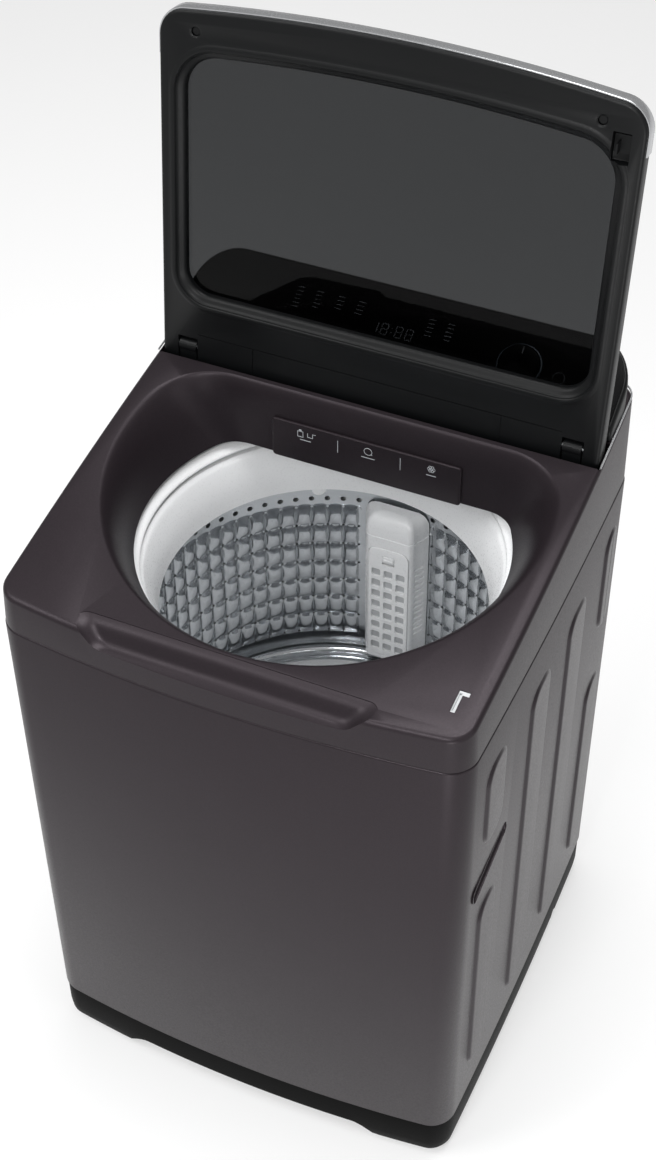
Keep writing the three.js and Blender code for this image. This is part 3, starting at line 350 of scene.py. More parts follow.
def rod(name: str, start: Sequence[float], end: Sequence[float], radius: float, sides: int = 32,
        soft: float = 0.0) -> Obj:
    """A round bar between two points, with softened rims."""
    a, b = Vector(start) * MM, Vector(end) * MM
    bpy.ops.object.select_all(action="DESELECT")
    bpy.ops.mesh.primitive_cylinder_add(vertices=sides, radius=radius * MM, depth=(b - a).length,
                                        location=(a + b) / 2)
    piece = added(name)
    piece.rotation_euler = (b - a).to_track_quat("Z", "Y").to_euler()
    bpy.ops.object.transform_apply(location=True, rotation=True, scale=True)
    return softened(piece, soft) if soft else piece


def hoop(name: str, centre: Sequence[float], normal: Sequence[float], radius: float, thick: float,
         major: int = 64, minor: int = 8) -> Obj:
    """A round ring of round section about a centre."""
    bpy.ops.object.select_all(action="DESELECT")
    bpy.ops.mesh.primitive_torus_add(major_segments=major, minor_segments=minor,
                                     major_radius=radius * MM, minor_radius=thick * MM,
                                     location=Vector(centre) * MM)
    piece = added(name)
    piece.rotation_euler = Vector(normal).to_track_quat("Z", "Y").to_euler()
    bpy.ops.object.transform_apply(location=True, rotation=True, scale=True)
    return piece


class How(Enum):
    """Ways to combine two solids."""

    CUT = "DIFFERENCE"
    JOIN = "UNION"
    COMMON = "INTERSECT"


def combined(piece: Obj, tool: Obj, how: How = How.CUT) -> Obj:
    """Combines a piece with a tool solid, which is used up."""
    pick(piece)
    step = piece.modifiers.new("combine", "BOOLEAN")
    step.operation = how.value
    step.solver = "MANIFOLD"
    step.object = tool
    bpy.ops.object.modifier_apply(modifier=step.name)
    bpy.data.objects.remove(tool, do_unlink=True)
    return piece


def welded(name: str, pieces: Sequence[Obj]) -> Obj:
    """Joins pieces into one object with several closed shells."""
    pick(pieces[0])
    for piece in pieces[1:]:
        piece.select_set(True)
    if len(pieces) > 1:
        bpy.ops.object.join()
    return added(name)


def copied(piece: Obj, matrix: Matrix) -> Obj:
    """A copy with its own mesh, moved by a matrix whose lengths are in millimetres."""
    other = piece.copy()
    other.data = piece.data.copy()
    bpy.context.collection.objects.link(other)
    return moved(other, matrix)


def moved(piece: Obj, matrix: Matrix) -> Obj:
    """Moves a piece by a matrix whose lengths are in millimetres."""
    pick(piece)
    place = matrix.copy()
    place.translation = matrix.translation * MM
    piece.matrix_world = place
    bpy.ops.object.transform_apply(location=True, rotation=True, scale=True)
    return piece


def mirrored(piece: Obj) -> Obj:
    """A copy on the machine's other side."""
    other = copied(piece, Matrix.Scale(-1, 4, Vector((1, 0, 0))))
    bpy.ops.object.mode_set(mode="EDIT")
    bpy.ops.mesh.select_all(action="SELECT")
    bpy.ops.mesh.normals_make_consistent(inside=False)
    bpy.ops.object.mode_set(mode="OBJECT")
    return other


# ---- finishes -----------------------------------------------------------------------------
def linear(code: str, lighter: float = 0.0) -> tuple[float, float, float, float]:
    """Turns an sRGB hex colour to linear.

    Args:
        code: six hex digits.
        lighter: part by which the result is lighter, or darker when it is below zero.

    Returns:
        The linear colour.
    """
    out = []
    for k in (0, 2, 4):
        c = int(code[k:k + 2], 16) / 255
        c = c / 12.92 if c <= 0.04045 else ((c + 0.055) / 1.055) ** 2.4
        out.append(min(c * (1 + lighter), 1.0))
    return (*out, 1.0)


def add_node(tree: bpy.types.NodeTree, kind: str, values: Optional[dict] = None,
             links: Optional[dict] = None, **settings: object) -> bpy.types.Node:
    """Adds a node.

    Args:
        tree: the node tree.
        kind: the node's type.
        values: input name or number to its value.
        links: input name or number to the output socket that feeds it.
        settings: the node's own settings.

    Returns:
        The node.
    """
    node = tree.nodes.new(kind)
    for key, value in settings.items():
        setattr(node, key, value)
    for key, value in (values or {}).items():
        node.inputs[key].default_value = value
    for key, socket in (links or {}).items():
        tree.links.new(socket, node.inputs[key])
    return node


@dataclass(frozen=True)
class Finish:
    """A surface finish: colour, gloss and the fine texture that its making leaves."""

    name: str
    slot: str
    colour: str
    rough: float
    metal: float = 0.0
    grain: float = 1.6            # size of the fine texture
    depth: float = 0.02           # how deep it is
    mottle: float = 0.06          # how much the colour varies, as a part
    cloud: float = 70.0           # size of that variation
    spread: float = 0.05          # how much the roughness varies
    stretch: tuple[float, float, float] = (1.0, 1.0, 1.0)
    coat: float = 0.0
    coat_rough: float = 0.15
    clear: float = 0.0            # part of the light that passes through
    ior: float = 1.5
    shine: float = 0.5            # strength of the reflection
    glint: float = 1.0            # tint of the reflection

    def build(self) -> Material:
        """Makes the material, or returns it when it has been made.

        Returns:
            The material.
        """
        known = bpy.data.materials.get(self.name)
        if known:
            return known
        material = bpy.data.materials.new(self.name)
        material.use_nodes = True
        tree = material.node_tree
        tree.nodes.clear()
        shader = add_node(tree, "ShaderNodeBsdfPrincipled", {
            "Metallic": self.metal, "Coat Weight": self.coat, "Coat Roughness": self.coat_rough,
            "Transmission Weight": self.clear, "Specular IOR Level": self.shine,
            "Specular Tint": (self.glint, self.glint, self.glint, 1.0)})
        if self.metal < 1:
            shader.inputs["IOR"].default_value = self.ior
        place = add_node(tree, "ShaderNodeTexCoord").outputs["Object"]
        spot = add_node(tree, "ShaderNodeMapping", {"Scale": self.stretch}, {"Vector": place})
        fine = add_node(tree, "ShaderNodeTexNoise", {"Scale": 1 / (self.grain * MM), "Detail": 3.0},
                        {"Vector": spot.outputs[0]})
        wide = add_node(tree, "ShaderNodeTexNoise", {"Scale": 1 / (self.cloud * MM), "Detail": 2.0},
                        {"Vector": place})
        self.dress(tree, shader, place, fine.outputs["Fac"], wide.outputs["Fac"])
        add_node(tree, "ShaderNodeOutputMaterial", links={"Surface": shader.outputs[0]})
        return material

    def dress(self, tree: bpy.types.NodeTree, shader: bpy.types.Node, place: bpy.types.NodeSocket,
              fine: bpy.types.NodeSocket, wide: bpy.types.NodeSocket) -> None:
        """Wires colour, roughness and relief.

        Args:
            tree: the material's tree.
            shader: its surface shader.
            place: object coordinates.
            fine: the fine texture.
            wide: the broad variation.
        """
        tint = add_node(tree, "ShaderNodeMix", {6: linear(self.colour, -self.mottle),
                                                7: linear(self.colour, self.mottle)},
                        {0: wide}, data_type="RGBA")
        tree.links.new(tint.outputs[2], shader.inputs["Base Color"])
        gloss = add_node(tree, "ShaderNodeMapRange", {
            "From Min": 0.3, "From Max": 0.7, "To Min": max(self.rough - self.spread, 0.01),
            "To Max": self.rough + self.spread}, {"Value": fine})
        tree.links.new(gloss.outputs[0], shader.inputs["Roughness"])
        if not self.depth:
            return
        relief = add_node(tree, "ShaderNodeBump", {"Strength": 0.35, "Distance": self.depth * MM},
                          {"Height": fine})
        tree.links.new(relief.outputs[0], shader.inputs["Normal"])


@dataclass(frozen=True)
class FlakePaint(Finish):
    """Metallic paint: small flakes catch the light one by one under a satin clear coat."""

    flake: float = 0.9            # drawn coarser than the real 0.05, so that it shows
    sparkle: float = 0.16

    def dress(self, tree: bpy.types.NodeTree, shader: bpy.types.Node, place: bpy.types.NodeSocket,
              fine: bpy.types.NodeSocket, wide: bpy.types.NodeSocket) -> None:
        """Wires the flakes over the plain finish; the arguments are those of Finish.dress."""
        super().dress(tree, shader, place, fine, wide)
        cells = add_node(tree, "ShaderNodeTexVoronoi", {"Scale": 1 / (self.flake * MM)},
                         {"Vector": place})
        bright = add_node(tree, "ShaderNodeMapRange", {"To Min": 1 - self.sparkle,
                                                       "To Max": 1 + self.sparkle},
                          {"Value": cells.outputs["Color"]})
        base = shader.inputs["Base Color"].links[0].from_socket
        mix = add_node(tree, "ShaderNodeMix", {0: 1.0}, {6: base, 7: bright.outputs[0]},
                       data_type="RGBA", blend_type="MULTIPLY")
        tree.links.new(mix.outputs[2], shader.inputs["Base Color"])


# Satin metallic enamel, sprayed on steel: dark plum grey that greys where it turns to the light.
ENAMEL = FlakePaint("aubergine_metallic_enamel", "aubergine_paint", "2b2529", 0.38, metal=0.55,
                    coat=0.1, coat_rough=0.3, shine=0.2, grain=2.4, depth=0.012, mottle=0.05)
# The same colour as lacquer over moulded ABS: a little softer.
LACQUER = FlakePaint("aubergine_lacquered_abs", "aubergine_plastic", "2b2529", 0.42, metal=0.5,
                     coat=0.08, coat_rough=0.35, shine=0.2, grain=1.8, depth=0.014, mottle=0.05)
# Satin black ABS with a fine spark-eroded grain.
BLACK_ABS = Finish("satin_black_moulded_abs", "black_plastic", "08090a", 0.42, grain=1.1,
                   depth=0.03, mottle=0.1, spread=0.08, shine=0.2)
# Black polypropylene, moulded matt, for the base.
BASE_PP = Finish("matt_black_moulded_polypropylene", "base_plastic", "030303", 0.5, grain=1.4,
                 depth=0.04, mottle=0.15, spread=0.08, shine=0.06)
# Bright white polypropylene straight from a polished mould.
WHITE_PP = Finish("white_moulded_polypropylene", "white_plastic", "ecedee", 0.3, grain=2.2,
                  depth=0.012, mottle=0.015, spread=0.05)
# Cold rolled stainless sheet, bright annealed, with faint rolling marks up the wall.
STAINLESS = Finish("bright_annealed_stainless_sheet", "stainless", "c2c5c8", 0.16, metal=1.0,
                   grain=1.0, depth=0.01, mottle=0.04, spread=0.06, stretch=(1.0, 1.0, 0.12))
# Satin chrome plating on moulded ABS.
PLATING = Finish("satin_chrome_plating", "silver_trim", "c9cacc", 0.24, metal=1.0, grain=1.2,
                 depth=0.006, mottle=0.03, spread=0.05)
# Smoke-tinted toughened glass: a grey that darkens what lies behind it.
SMOKED = Finish("smoke_tinted_toughened_glass", "smoked_glass", "3f4041", 0.02, grain=60.0,
                depth=0.0, mottle=0.0, spread=0.0, clear=1.0, glint=0.1)
# Back-printed black glass of the control panel.
PANEL = Finish("black_printed_panel_glass", "panel_glass", "070708", 0.26, grain=30.0, depth=0.0,
               mottle=0.05, spread=0.02, shine=0.2, glint=0.25)
# Pale print under the panel's glass.
PRINT = Finish("pale_panel_print", "grey_plastic", "b2b6ba", 0.4, grain=1.0, depth=0.0, mottle=0.03)
# Blue-grey light guide round the dial.
GUIDE = Finish("translucent_light_guide", "grey_plastic", "7f8b97", 0.35, grain=2.0, depth=0.004,
               mottle=0.05)
# Light grey acetal, moulded.
GREY_POM = Finish("grey_moulded_acetal", "grey_plastic", "b4b6b8", 0.42, grain=1.4, depth=0.02,
                  mottle=0.04)
# Zinc plated steel with a faint crystalline bloom.
ZINC = Finish("zinc_plated_steel", "zinc_steel", "a9acae", 0.36, metal=1.0, grain=3.0, depth=0.012,
              mottle=0.12, cloud=22.0, spread=0.12)
# Moulded black rubber.
RUBBER = Finish("moulded_black_rubber", "rubber", "171717", 0.78, grain=0.9, depth=0.05, mottle=0.12)
# Die cast aluminium with the fine roughness of the die.
CAST = Finish("die_cast_aluminium", "cast_aluminium", "b1b4b6", 0.46, metal=1.0, grain=1.3,
              depth=0.06, mottle=0.08, cloud=30.0, spread=0.1)
# Glass fibre board under green solder resist.
BOARD = Finish("green_solder_resist_board", "circuit_board", "1d4a2c", 0.38, grain=0.7, depth=0.02,
               mottle=0.15, cloud=14.0)


def done(piece: Obj, name: str, body: str, finish: Finish, *nodes: str, smooth: float = 32.0) -> Obj:
    """Dresses a finished piece and ties it to the frame.

    Args:
        piece: the piece, in its place.
        name: its name.
        body: the body that it rides on, or nothing for a piece that bends between two.
        finish: its finish.
        nodes: the CAD nodes that it stands for.
        smooth: edges that turn by less than this are shaded smooth.

    Returns:
        The piece.
    """
    pick(piece)
    piece.name = name
    piece.data.name = name
    if "step" in piece.data.attributes:
        piece.data.attributes.remove(piece.data.attributes["step"])
    bpy.ops.object.shade_smooth_by_angle(angle=math.radians(smooth))
    piece.data.materials.clear()
    piece.data.materials.append(finish.build())
    for face in piece.data.polygons:
        face.material_index = 0
    if body:
        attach(piece, body)
    if nodes:
        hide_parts(*nodes)
    log.info("%s: %d faces, on %s", name, len(piece.data.polygons), body or "two bodies")
    return piece


# ---- cabinet ------------------------------------------------------------------------------
@dataclass(frozen=True)
class Pad:
    """A raised pad pressed in a side wall, by its extent along Y and Z."""

    y0: float
    y1: float
    z0: float
    z1: float


@dataclass
class Cabinet:
    """Painted steel shell with pressed sides and hand grips, on a black plastic base."""

    sheet: float = 1.2
    pads: list[Pad] = field(default_factory=lambda: [
        Pad(-203, -141, 562, 694), Pad(-202, -144, 127, 455), Pad(-68, 0, 114, 680),
        Pad(58, 128, 114, 680), Pad(196, 246, 535, 695), Pad(178, 238, 116, 450)])
    pad_corner: float = 26.0
    pad_rise: float = 3.6         # at the pad's front edge
    pad_fade: float = 0.6         # part of the rise that is gone at its rear edge
    grip_y: float = -173.0
    grip_z: float = BODY.seam - 234.0
    grip_tilt: float = 13.6
    grip_length: float = 104.0
    grip_height: float = 24.0
    grip_corner: float = 9.0
    grip_deep: float = 10.0
    arches: tuple[Point, Point] = ((141.0, 192.0), (155.0, 204.0))    # left, right: start, foot
    arch_top: float = 29.0        # lower edge of the base between its corner pods
    arch_foot: float = 2.0        # the same edge at the pods
    feet_x: float = 228.0
    feet_y: Point = (-218.0, 232.0)
    ribs: int = 4                 # on the rear panel
    rib_half: float = 38.0
    rib_margin: float = 130.0     # from the panel's upper and lower edges

    def build(self) -> None:
        """Builds the shell, the base and the rear panel."""
        self.build_shell()
        self.build_base()
        self.build_rear()

    def build_shell(self) -> None:
        """Makes the wrap with its rolled hems, the pads and the grips."""
        seam, low = BODY.seam, BODY.bottom
        skin = [(1.6, low), (0.5, low + 0.5), (0.0, low + 2.0), (0.0, seam - 2.4), (0.5, seam - 1.0),
                (1.8, seam - 0.2), (6.0, seam), (6.0, seam - self.sheet), (2.4, seam - 2.6),
                (self.sheet, seam - 5.0), (self.sheet, low + 2.0), (2.2, low)]
        rings = [[(x, y, z) for x, y in footprint(inset)] for inset, z in skin]
        shell = skinned("shell", rings, wrap=True)
        half = BODY.half_width - BODY.corner - 14
        combined(shell, block("gap", (-half, BODY.rear - 12, low - 5), (half, BODY.rear + 12, seam - 40)))
        for side in (1, -1):
            combined(shell, self.grip(side, self.sheet, self.grip_deep, 0.8), How.JOIN)
            combined(shell, self.grip(side, 0.0, self.grip_deep - self.sheet, 20.0))
        parts = [shell]
        for pad in self.pads:
            right = self.pad_mesh(pad)
            parts += [right, mirrored(right)]
        done(welded("shell", parts), "cabinet_wrap", "cabinet", ENAMEL, "cabinet_shell", smooth=40)

    def grip(self, side: int, grow: float, deep: float, out: float) -> Obj:
        """A slanted solid through one side wall, with a sloped scoop at its inner end.

        Args:
            side: 1 on the right, -1 on the left.
            grow: how much larger than the grip it is all round.
            deep: how far it reaches in.
            out: how far it stands out of the wall.

        Returns:
            The solid.
        """
        half_l, half_h = self.grip_length / 2 + grow, self.grip_height / 2 + grow
        plan = rounded_rect(-half_l, half_l, -half_h, half_h, [self.grip_corner + grow] * 4, 6, 2)
        turn = math.radians(self.grip_tilt)
        skin = side_x(self.grip_y)
        flare = -1.0 if out > 5 else 0.0
        spans = ((skin - deep, 7.5), (skin - deep + 1.2, 6.0), (skin - 2.0, 0.6), (skin - 0.8, 0.0),
                 (skin + out, flare))
        rings = []
        for x, shrink in spans:
            ring = []
            for a, b in plan:
                a, b = a * (1 - shrink / half_l), b * (1 - shrink / half_h)
                ring.append((side * x, self.grip_y + a * math.cos(turn) - b * math.sin(turn),
                             self.grip_z + a * math.sin(turn) + b * math.cos(turn)))
            rings.append(ring)
        return skinned("grip", rings)

    def pad_mesh(self, pad: Pad) -> Obj:
        """One raised pad on the right side, with soft shoulders that follow the bowed wall."""
        shoulder = ((0.0, -0.7), (1.0, 0.05), (2.2, 0.5), (3.4, 1.35), (4.8, 2.15), (6.4, 2.5),
                    (9.0, 2.6))
        full = shoulder[-1][1]
        rings = []
        for inset, rise in shoulder:
            radius = max(self.pad_corner - inset, 4.0)
            plan = rounded_rect(pad.y0 + inset, pad.y1 - inset, pad.z0 + inset, pad.z1 - inset,
                                [radius] * 4, 8, 10)
            ring = []
            for y, z in plan:
                left = 1 - self.pad_fade * (y - pad.y0) / (pad.y1 - pad.y0)
                ring.append((side_x(y) + rise * self.pad_rise / full * left, y, z))
            rings.append(ring)
        return skinned("pad", rings)

    def build_base(self) -> None:
        """Makes the black base with its raised front edge between the corner pods."""
        low, high = 5.0, BODY.bottom - 0.4
        outer = [(14.0, low), (6.0, low + 1.5), (3.0, low + 8), (1.6, low + 22), (1.6, high - 3),
                 (2.4, high)]
        inner = [(30.0, high), (34.0, high - 4), (34.0, low + 6), (30.0, low)]
        rings = [[(x, y, z) for x, y in footprint(inset)] for inset, z in outer + inner]
        base = skinned("base", rings, wrap=True)
        combined(base, self.arch())
        combined(base, block("notch", (268, 150, -5), (300, 166, 26), 3.0))
        parts = [base]
        pod = filleted([(6.6, 9), (30, 9), (34, 34), (6.6, 34)], 2)
        for x in (-self.feet_x, self.feet_x):
            for y in self.feet_y:
                parts.append(turned("pod", pod, 48, x, y))
        done(welded("base", parts), "plastic_base", "cabinet", BASE_PP, "base_frame", smooth=35)

    def arch(self) -> Obj:
        """The solid that raises the base's front edge between the pods."""
        steps, under = 10, -12.0
        edge: list[Point] = []
        for side, (start, foot) in zip((-1, 1), self.arches):
            run = []
            for k in range(steps + 1):
                fall = (self.arch_top - self.arch_foot) * soft_step(k / steps)
                run.append((side * (start + (foot - start) * k / steps), self.arch_top - fall))
            edge += run[::-1] if side < 0 else run
        edge += [(edge[-1][0], under), (edge[0][0], under)]
        return skinned("arch", [[(x, y, z) for x, z in edge] for y in (BODY.front - 40, BODY.front + 44)])

    def build_rear(self) -> None:
        """Makes the zinc rear panel with its pressed stiffening ribs."""
        low, high = node_box("rear_panel")
        panel = block("panel", low, high, 0.4)
        for k in range(self.ribs):
            x = low.x + (high.x - low.x) * (k + 0.5) / self.ribs
            plan = rounded_rect(x - self.rib_half, x + self.rib_half, low.z + self.rib_margin,
                                high.z - self.rib_margin, [30] * 4, 8, 1)
            rib = skinned("rib", [[(a, high.y - 0.6, b) for a, b in plan],
                                  [(x + (a - x) * 0.86, high.y + 1.3, b) for a, b in plan]])
            combined(panel, rib, How.JOIN)
        for node, radius in (("drain_outlet", 19.0), ("cord_gland", 12.0)):
            a, b = node_box(node)
            x, z = (a.x + b.x) / 2, (a.z + b.z) / 2
            combined(panel, rod("hole", (x, low.y - 9, z), (x, high.y + 9, z), radius, 48))
        done(panel, "rear_sheet", "cabinet", ZINC, "rear_panel", smooth=12)


# ---- top cover ----------------------------------------------------------------------------
@dataclass
class TopCover:
    """Lacquered cover: a dished loading opening, the lid's trough, a finger groove and recesses."""

    throat_r: float = 217.0
    throat_z: float = RING_HIGH.z + 9.0
    rear_y: float = 124.0
    corner: float = 40.0
    flare: float = 0.4            # radius that the opening gains with height
    roll: float = 0.17            # how far its edge rolls out, as a part of its height
    roll_from: float = 0.4        # part of its height at which the roll starts
    roll_back: float = 9.0        # how far its straight rear side rolls back
    trough: tuple[float, float, float] = (138.0, 180.0, 16.0)     # front, back, depth
    lid_half: float = 277.0
    groove_half: float = 148.0
    groove_deep: float = 21.0
    edge: float = 6.0             # round of the cover's top edge
    recess_x: Point = (-220.0, -110.0)      # sides of the inlet valves' recess
    recess_rise: float = 62.0     # its middle above the seam
    recess_half: float = 26.0
    recess_deep: float = 26.0
    spigots: Point = (-190.0, -140.0)
    mark_z: float = 799.0         # height of the drawer's marks
    _plans: dict[tuple[float, float, float], list[Point]] = field(default_factory=dict, init=False)

    def blank(self, inset: float, drop: float, low: float) -> Obj:
        """The cover's skin as a solid: drafted sides and a round into the sloped top."""
        steps = 5
        rings = [[(x, y, low) for x, y in footprint(0.8 + inset)],
                 [(x, y, low + 3) for x, y in footprint(0.9 + inset)]]
        for k in range(steps + 1):
            a = math.radians(90 * k / steps)
            plan = footprint(BODY.draft + inset + self.edge * (1 - math.cos(a)))
            fall = drop + self.edge * (1 - math.sin(a))
            rings.append([(x, y, BODY.top(y) - fall) for x, y in plan])
        return skinned("blank", rings)

    def opening_plan(self, r: float, rear: float, corner: float) -> list[Point]:
        """Plan of the opening: a circle with a straight rear side.

        Args:
            r: the circle's radius.
            rear: where the straight side lies.
            corner: radius of the two corners between them.

        Returns:
            Its points, anticlockwise from the straight side's left end.
        """
        bend, sweep, straight = 12, 110, 10
        reach = math.sqrt((r - corner) ** 2 - (rear - corner) ** 2)
        turn = math.atan2(rear - corner, reach)
        turns = [turn + (math.pi / 2 - turn) * k / bend for k in range(bend + 1)]
        right, left = [[(side * (reach + corner * math.cos(a)), rear - corner + corner * math.sin(a))
                        for a in turns] for side in (1, -1)]
        left.reverse()
        circle = [(r * math.cos(a), r * math.sin(a)) for a in
                  (math.pi - turn + (math.pi + 2 * turn) * i / sweep for i in range(1, sweep))]
        x0, x1 = left[0][0], right[-1][0]
        rear_side = [(x0 + (x1 - x0) * i / straight, rear) for i in range(1, straight)]
        return left + circle + right + rear_side[::-1]

    def opening(self, grow: float, low: float) -> Obj:
        """The opening as a solid, flared and rolled out at its top."""
        levels = [0.0, 0.16, 0.32, 0.46, 0.58, 0.68, 0.76, 0.83, 0.89, 0.935, 0.968, 0.988, 1.0, 1.12]
        flat = self.opening_plan(self.throat_r + grow, self.rear_y + grow, self.corner + grow)
        rings = [[(x, y, low) for x, y in flat]] if low < self.throat_z else []
        for t in levels:
            rise = min(t, 1.0)
            rolled = ease((rise - self.roll_from) / (1 - self.roll_from))
            ring = []
            for index, (x, y) in enumerate(flat):
                height = BODY.top(y) - self.throat_z
                out = self.flare * height * rise + self.roll * height * rolled
                x, y = self.plan_point(index, grow, out, self.roll_back * rolled)
                ring.append((x, y, self.throat_z + t * (BODY.top(y) + 0.05 - self.throat_z)))
            rings.append(ring)
        return skinned("opening", rings)

    def plan_point(self, index: int, grow: float, out: float, back: float) -> Point:
        """One point of the opening's plan when it is larger by out, and by back at the rear."""
        key = (round(out, 2), round(back, 2), grow)
        if key not in self._plans:
            self._plans[key] = self.opening_plan(self.throat_r + grow + out, self.rear_y + grow + back,
                                                 self.corner + grow + back + out * 0.8)
        return self._plans[key][index]

    def slab(self, x0: float, x1: float, y0: float, y1: float, above: float, below: float) -> Obj:
        """A slab that follows the sloped top, from below it to above it."""
        plan = [(x0, y0), (x1, y0), (x1, y1), (x0, y1)]
        return skinned("slab", [[(x, y, BODY.top(y) - below) for x, y in plan],
                                [(x, y, BODY.top(y) + above) for x, y in plan]])

    def groove(self, grow: float) -> Obj:
        """The finger groove as a solid, with a rounded floor and rolled-out rims."""
        floor = BODY.top(BODY.front) - self.groove_deep
        front = BODY.front - BODY.front_bow - 12
        levels = ((-grow, 5.0), (0.6 - grow, 3.0), (2.2 - grow, 1.0), (5.0, 0.0), (10.0, 0.0),
                  (15.0, 0.0), (18.0, -0.8), (20.0, -2.4), (21.4, -5.0), (22.4, -8.0), (45.0, -9.0))
        rings = []
        for up, shrink in levels:
            lean = min(up, self.groove_deep)
            half = self.groove_half + grow + lean - shrink
            back = BODY.front - 2 + grow + 0.5 * lean - shrink
            ring = rounded_rect(-half, half, front, back, [1, 14, 14, 1], 8, 6)
            rings.append([(x, y, floor + up) for x, y in ring])
        return skinned("groove", rings)

    def recess(self, grow: float, out: float, soft: float = 0.0) -> Obj:
        """The inlet valves' recess as a solid.

        Args:
            grow: how much larger than the recess it is.
            out: how far it stands out of the rear.
            soft: radius of its edges.

        Returns:
            The solid.
        """
        x0, x1 = self.recess_x
        z, half = BODY.seam + self.recess_rise, self.recess_half + grow
        return block("recess", (x0 - grow, BODY.rear - self.recess_deep - grow, z - half),
                     (x1 + grow, BODY.rear + out, z + half), soft)

    def lock_middle(self) -> Point:
        """Middle of the long leg of the lid lock's slot."""
        return (LOCK_LOW.x + LOCK_HIGH.x) / 2, (LOCK_LOW.y + LOCK_HIGH.y) / 2 - 2

    def lock_slot(self) -> Obj:
        """The lid lock's slot: a long leg with a short arm at its rear end."""
        x, y = self.lock_middle()
        leg = self.slab(x - 3, x + 2.5, y - 14, y + 15, 20, 11)
        return combined(leg, self.slab(x - 3, x + 9.5, y + 9, y + 15, 20, 11), How.JOIN)

    def build(self) -> None:
        """Builds the cover, the drawer's front and the lock's guide."""
        low = BODY.seam + 0.8
        wall = BODY.wall
        front, back, deep = self.trough
        half = self.lid_half + 1
        cover = self.blank(0, 0, low)
        combined(cover, self.blank(wall, wall, low - 1))
        linings = [self.opening(wall, self.throat_z + 1),
                   self.slab(-half, half, front - wall, back + wall, -1, deep + wall),
                   self.groove(wall), self.recess(wall, 5.0)]
        for lining in linings:
            combined(lining, self.blank(0.6, 0.6, low), How.COMMON)
            combined(cover, lining, How.JOIN)
        tray_low, tray_high = node_box("drawer_tray")
        tray = block("tray", (tray_low.x - 4, self.rear_y - 5, tray_low.z - 4),
                     (tray_high.x + 4, self.rear_y + 12, tray_high.z + 4))
        cuts = [self.opening(0, BODY.seam - 30), self.slab(-half, half, front, back, 30, deep),
                self.groove(0), self.recess(0.0, 20.0, 2.0), tray, self.lock_slot()]
        z = BODY.seam + self.recess_rise
        for x in self.spigots:
            cuts.append(rod("spigot", (x, BODY.rear - 40, z), (x, BODY.rear - 20, z), 14.5, 32))
        for tool in cuts:
            combined(cover, tool)
        done(cover, "cover", "cabinet", LACQUER, "top_cover", smooth=24)
        face = face_plate("face", FACE_LOW, FACE_HIGH, [4] * 4)
        done(face, "drawer_front", "drawer", LACQUER, "drawer_face", smooth=40)
        self.build_marks()
        self.build_lock()

    def build_lock(self) -> None:
        """Makes the pale guide that lines the lock's slot."""
        x, y = self.lock_middle()
        guide = self.slab(x - 2.6, x + 2.1, y - 13.6, y + 14.6, -0.9, 8)
        combined(guide, self.slab(x - 2.6, x + 9.1, y + 9.4, y + 14.6, -0.9, 8), How.JOIN)
        combined(guide, self.slab(x - 1.7, x + 1.3, y - 12, y + 12.4, 9, 3.4))
        done(guide, "lock_guide", "cabinet", GREY_POM)

    def build_marks(self) -> None:
        """Prints plain marks for detergent, wash and softener on the drawer's face."""
        y, z = FACE_LOW.y, self.mark_z
        wash, softener = 4.0, 84.0
        facing = (0.0, 1.0, 0.0)
        marks = [self.bar(x, z - 5.0, 0.7, 18.0) for x in (-35.0, 45.0)]
        marks.append(hoop("wash", (wash, y, z), facing, 5.0, 0.35, 40, 6))
        marks.append(self.bar(wash + 4.0, z - 3.8, 3.0, 0.8))
        petals = 6
        for k in range(petals):
            a = math.radians(360 / petals * k)
            place = (softener + 2.9 * math.cos(a), y, z + 2.9 * math.sin(a))
            marks.append(hoop("petal", place, facing, 1.9, 0.3, 20, 6))
        marks.append(hoop("heart", (softener, y, z), facing, 1.1, 0.3, 16, 6))
        bottle = ((-87.0, 797.5, 0.7, 8), (-80.0, 797.5, 0.7, 8), (-83.5, 793.6, 7.6, 0.7),
                  (-83.5, 801.6, 7.6, 0.7), (-83.5, 803.4, 3.2, 2.2))
        cup = ((-74.0, 798.5, 0.7, 6), (-67.5, 798.5, 0.7, 6), (-70.8, 795.6, 7.0, 0.7),
               (-65.6, 801.5, 4.4, 0.7))
        lines = ((-77.0, 789.5, 14.0, 0.9), (wash, 789.5, 17.0, 0.9), (softener, 789.5, 12.0, 0.9))
        marks += [self.bar(*sizes) for sizes in bottle + cup + lines]
        done(welded("marks", marks), "drawer_marks", "drawer", PRINT)

    def bar(self, x: float, z: float, wide: float, high: float) -> Obj:
        """A thin printed bar about a point of the drawer's face."""
        y = FACE_LOW.y
        return block("bar", (x - wide / 2, y - 0.25, z - high / 2), (x + wide / 2, y + 0.2, z + high / 2))


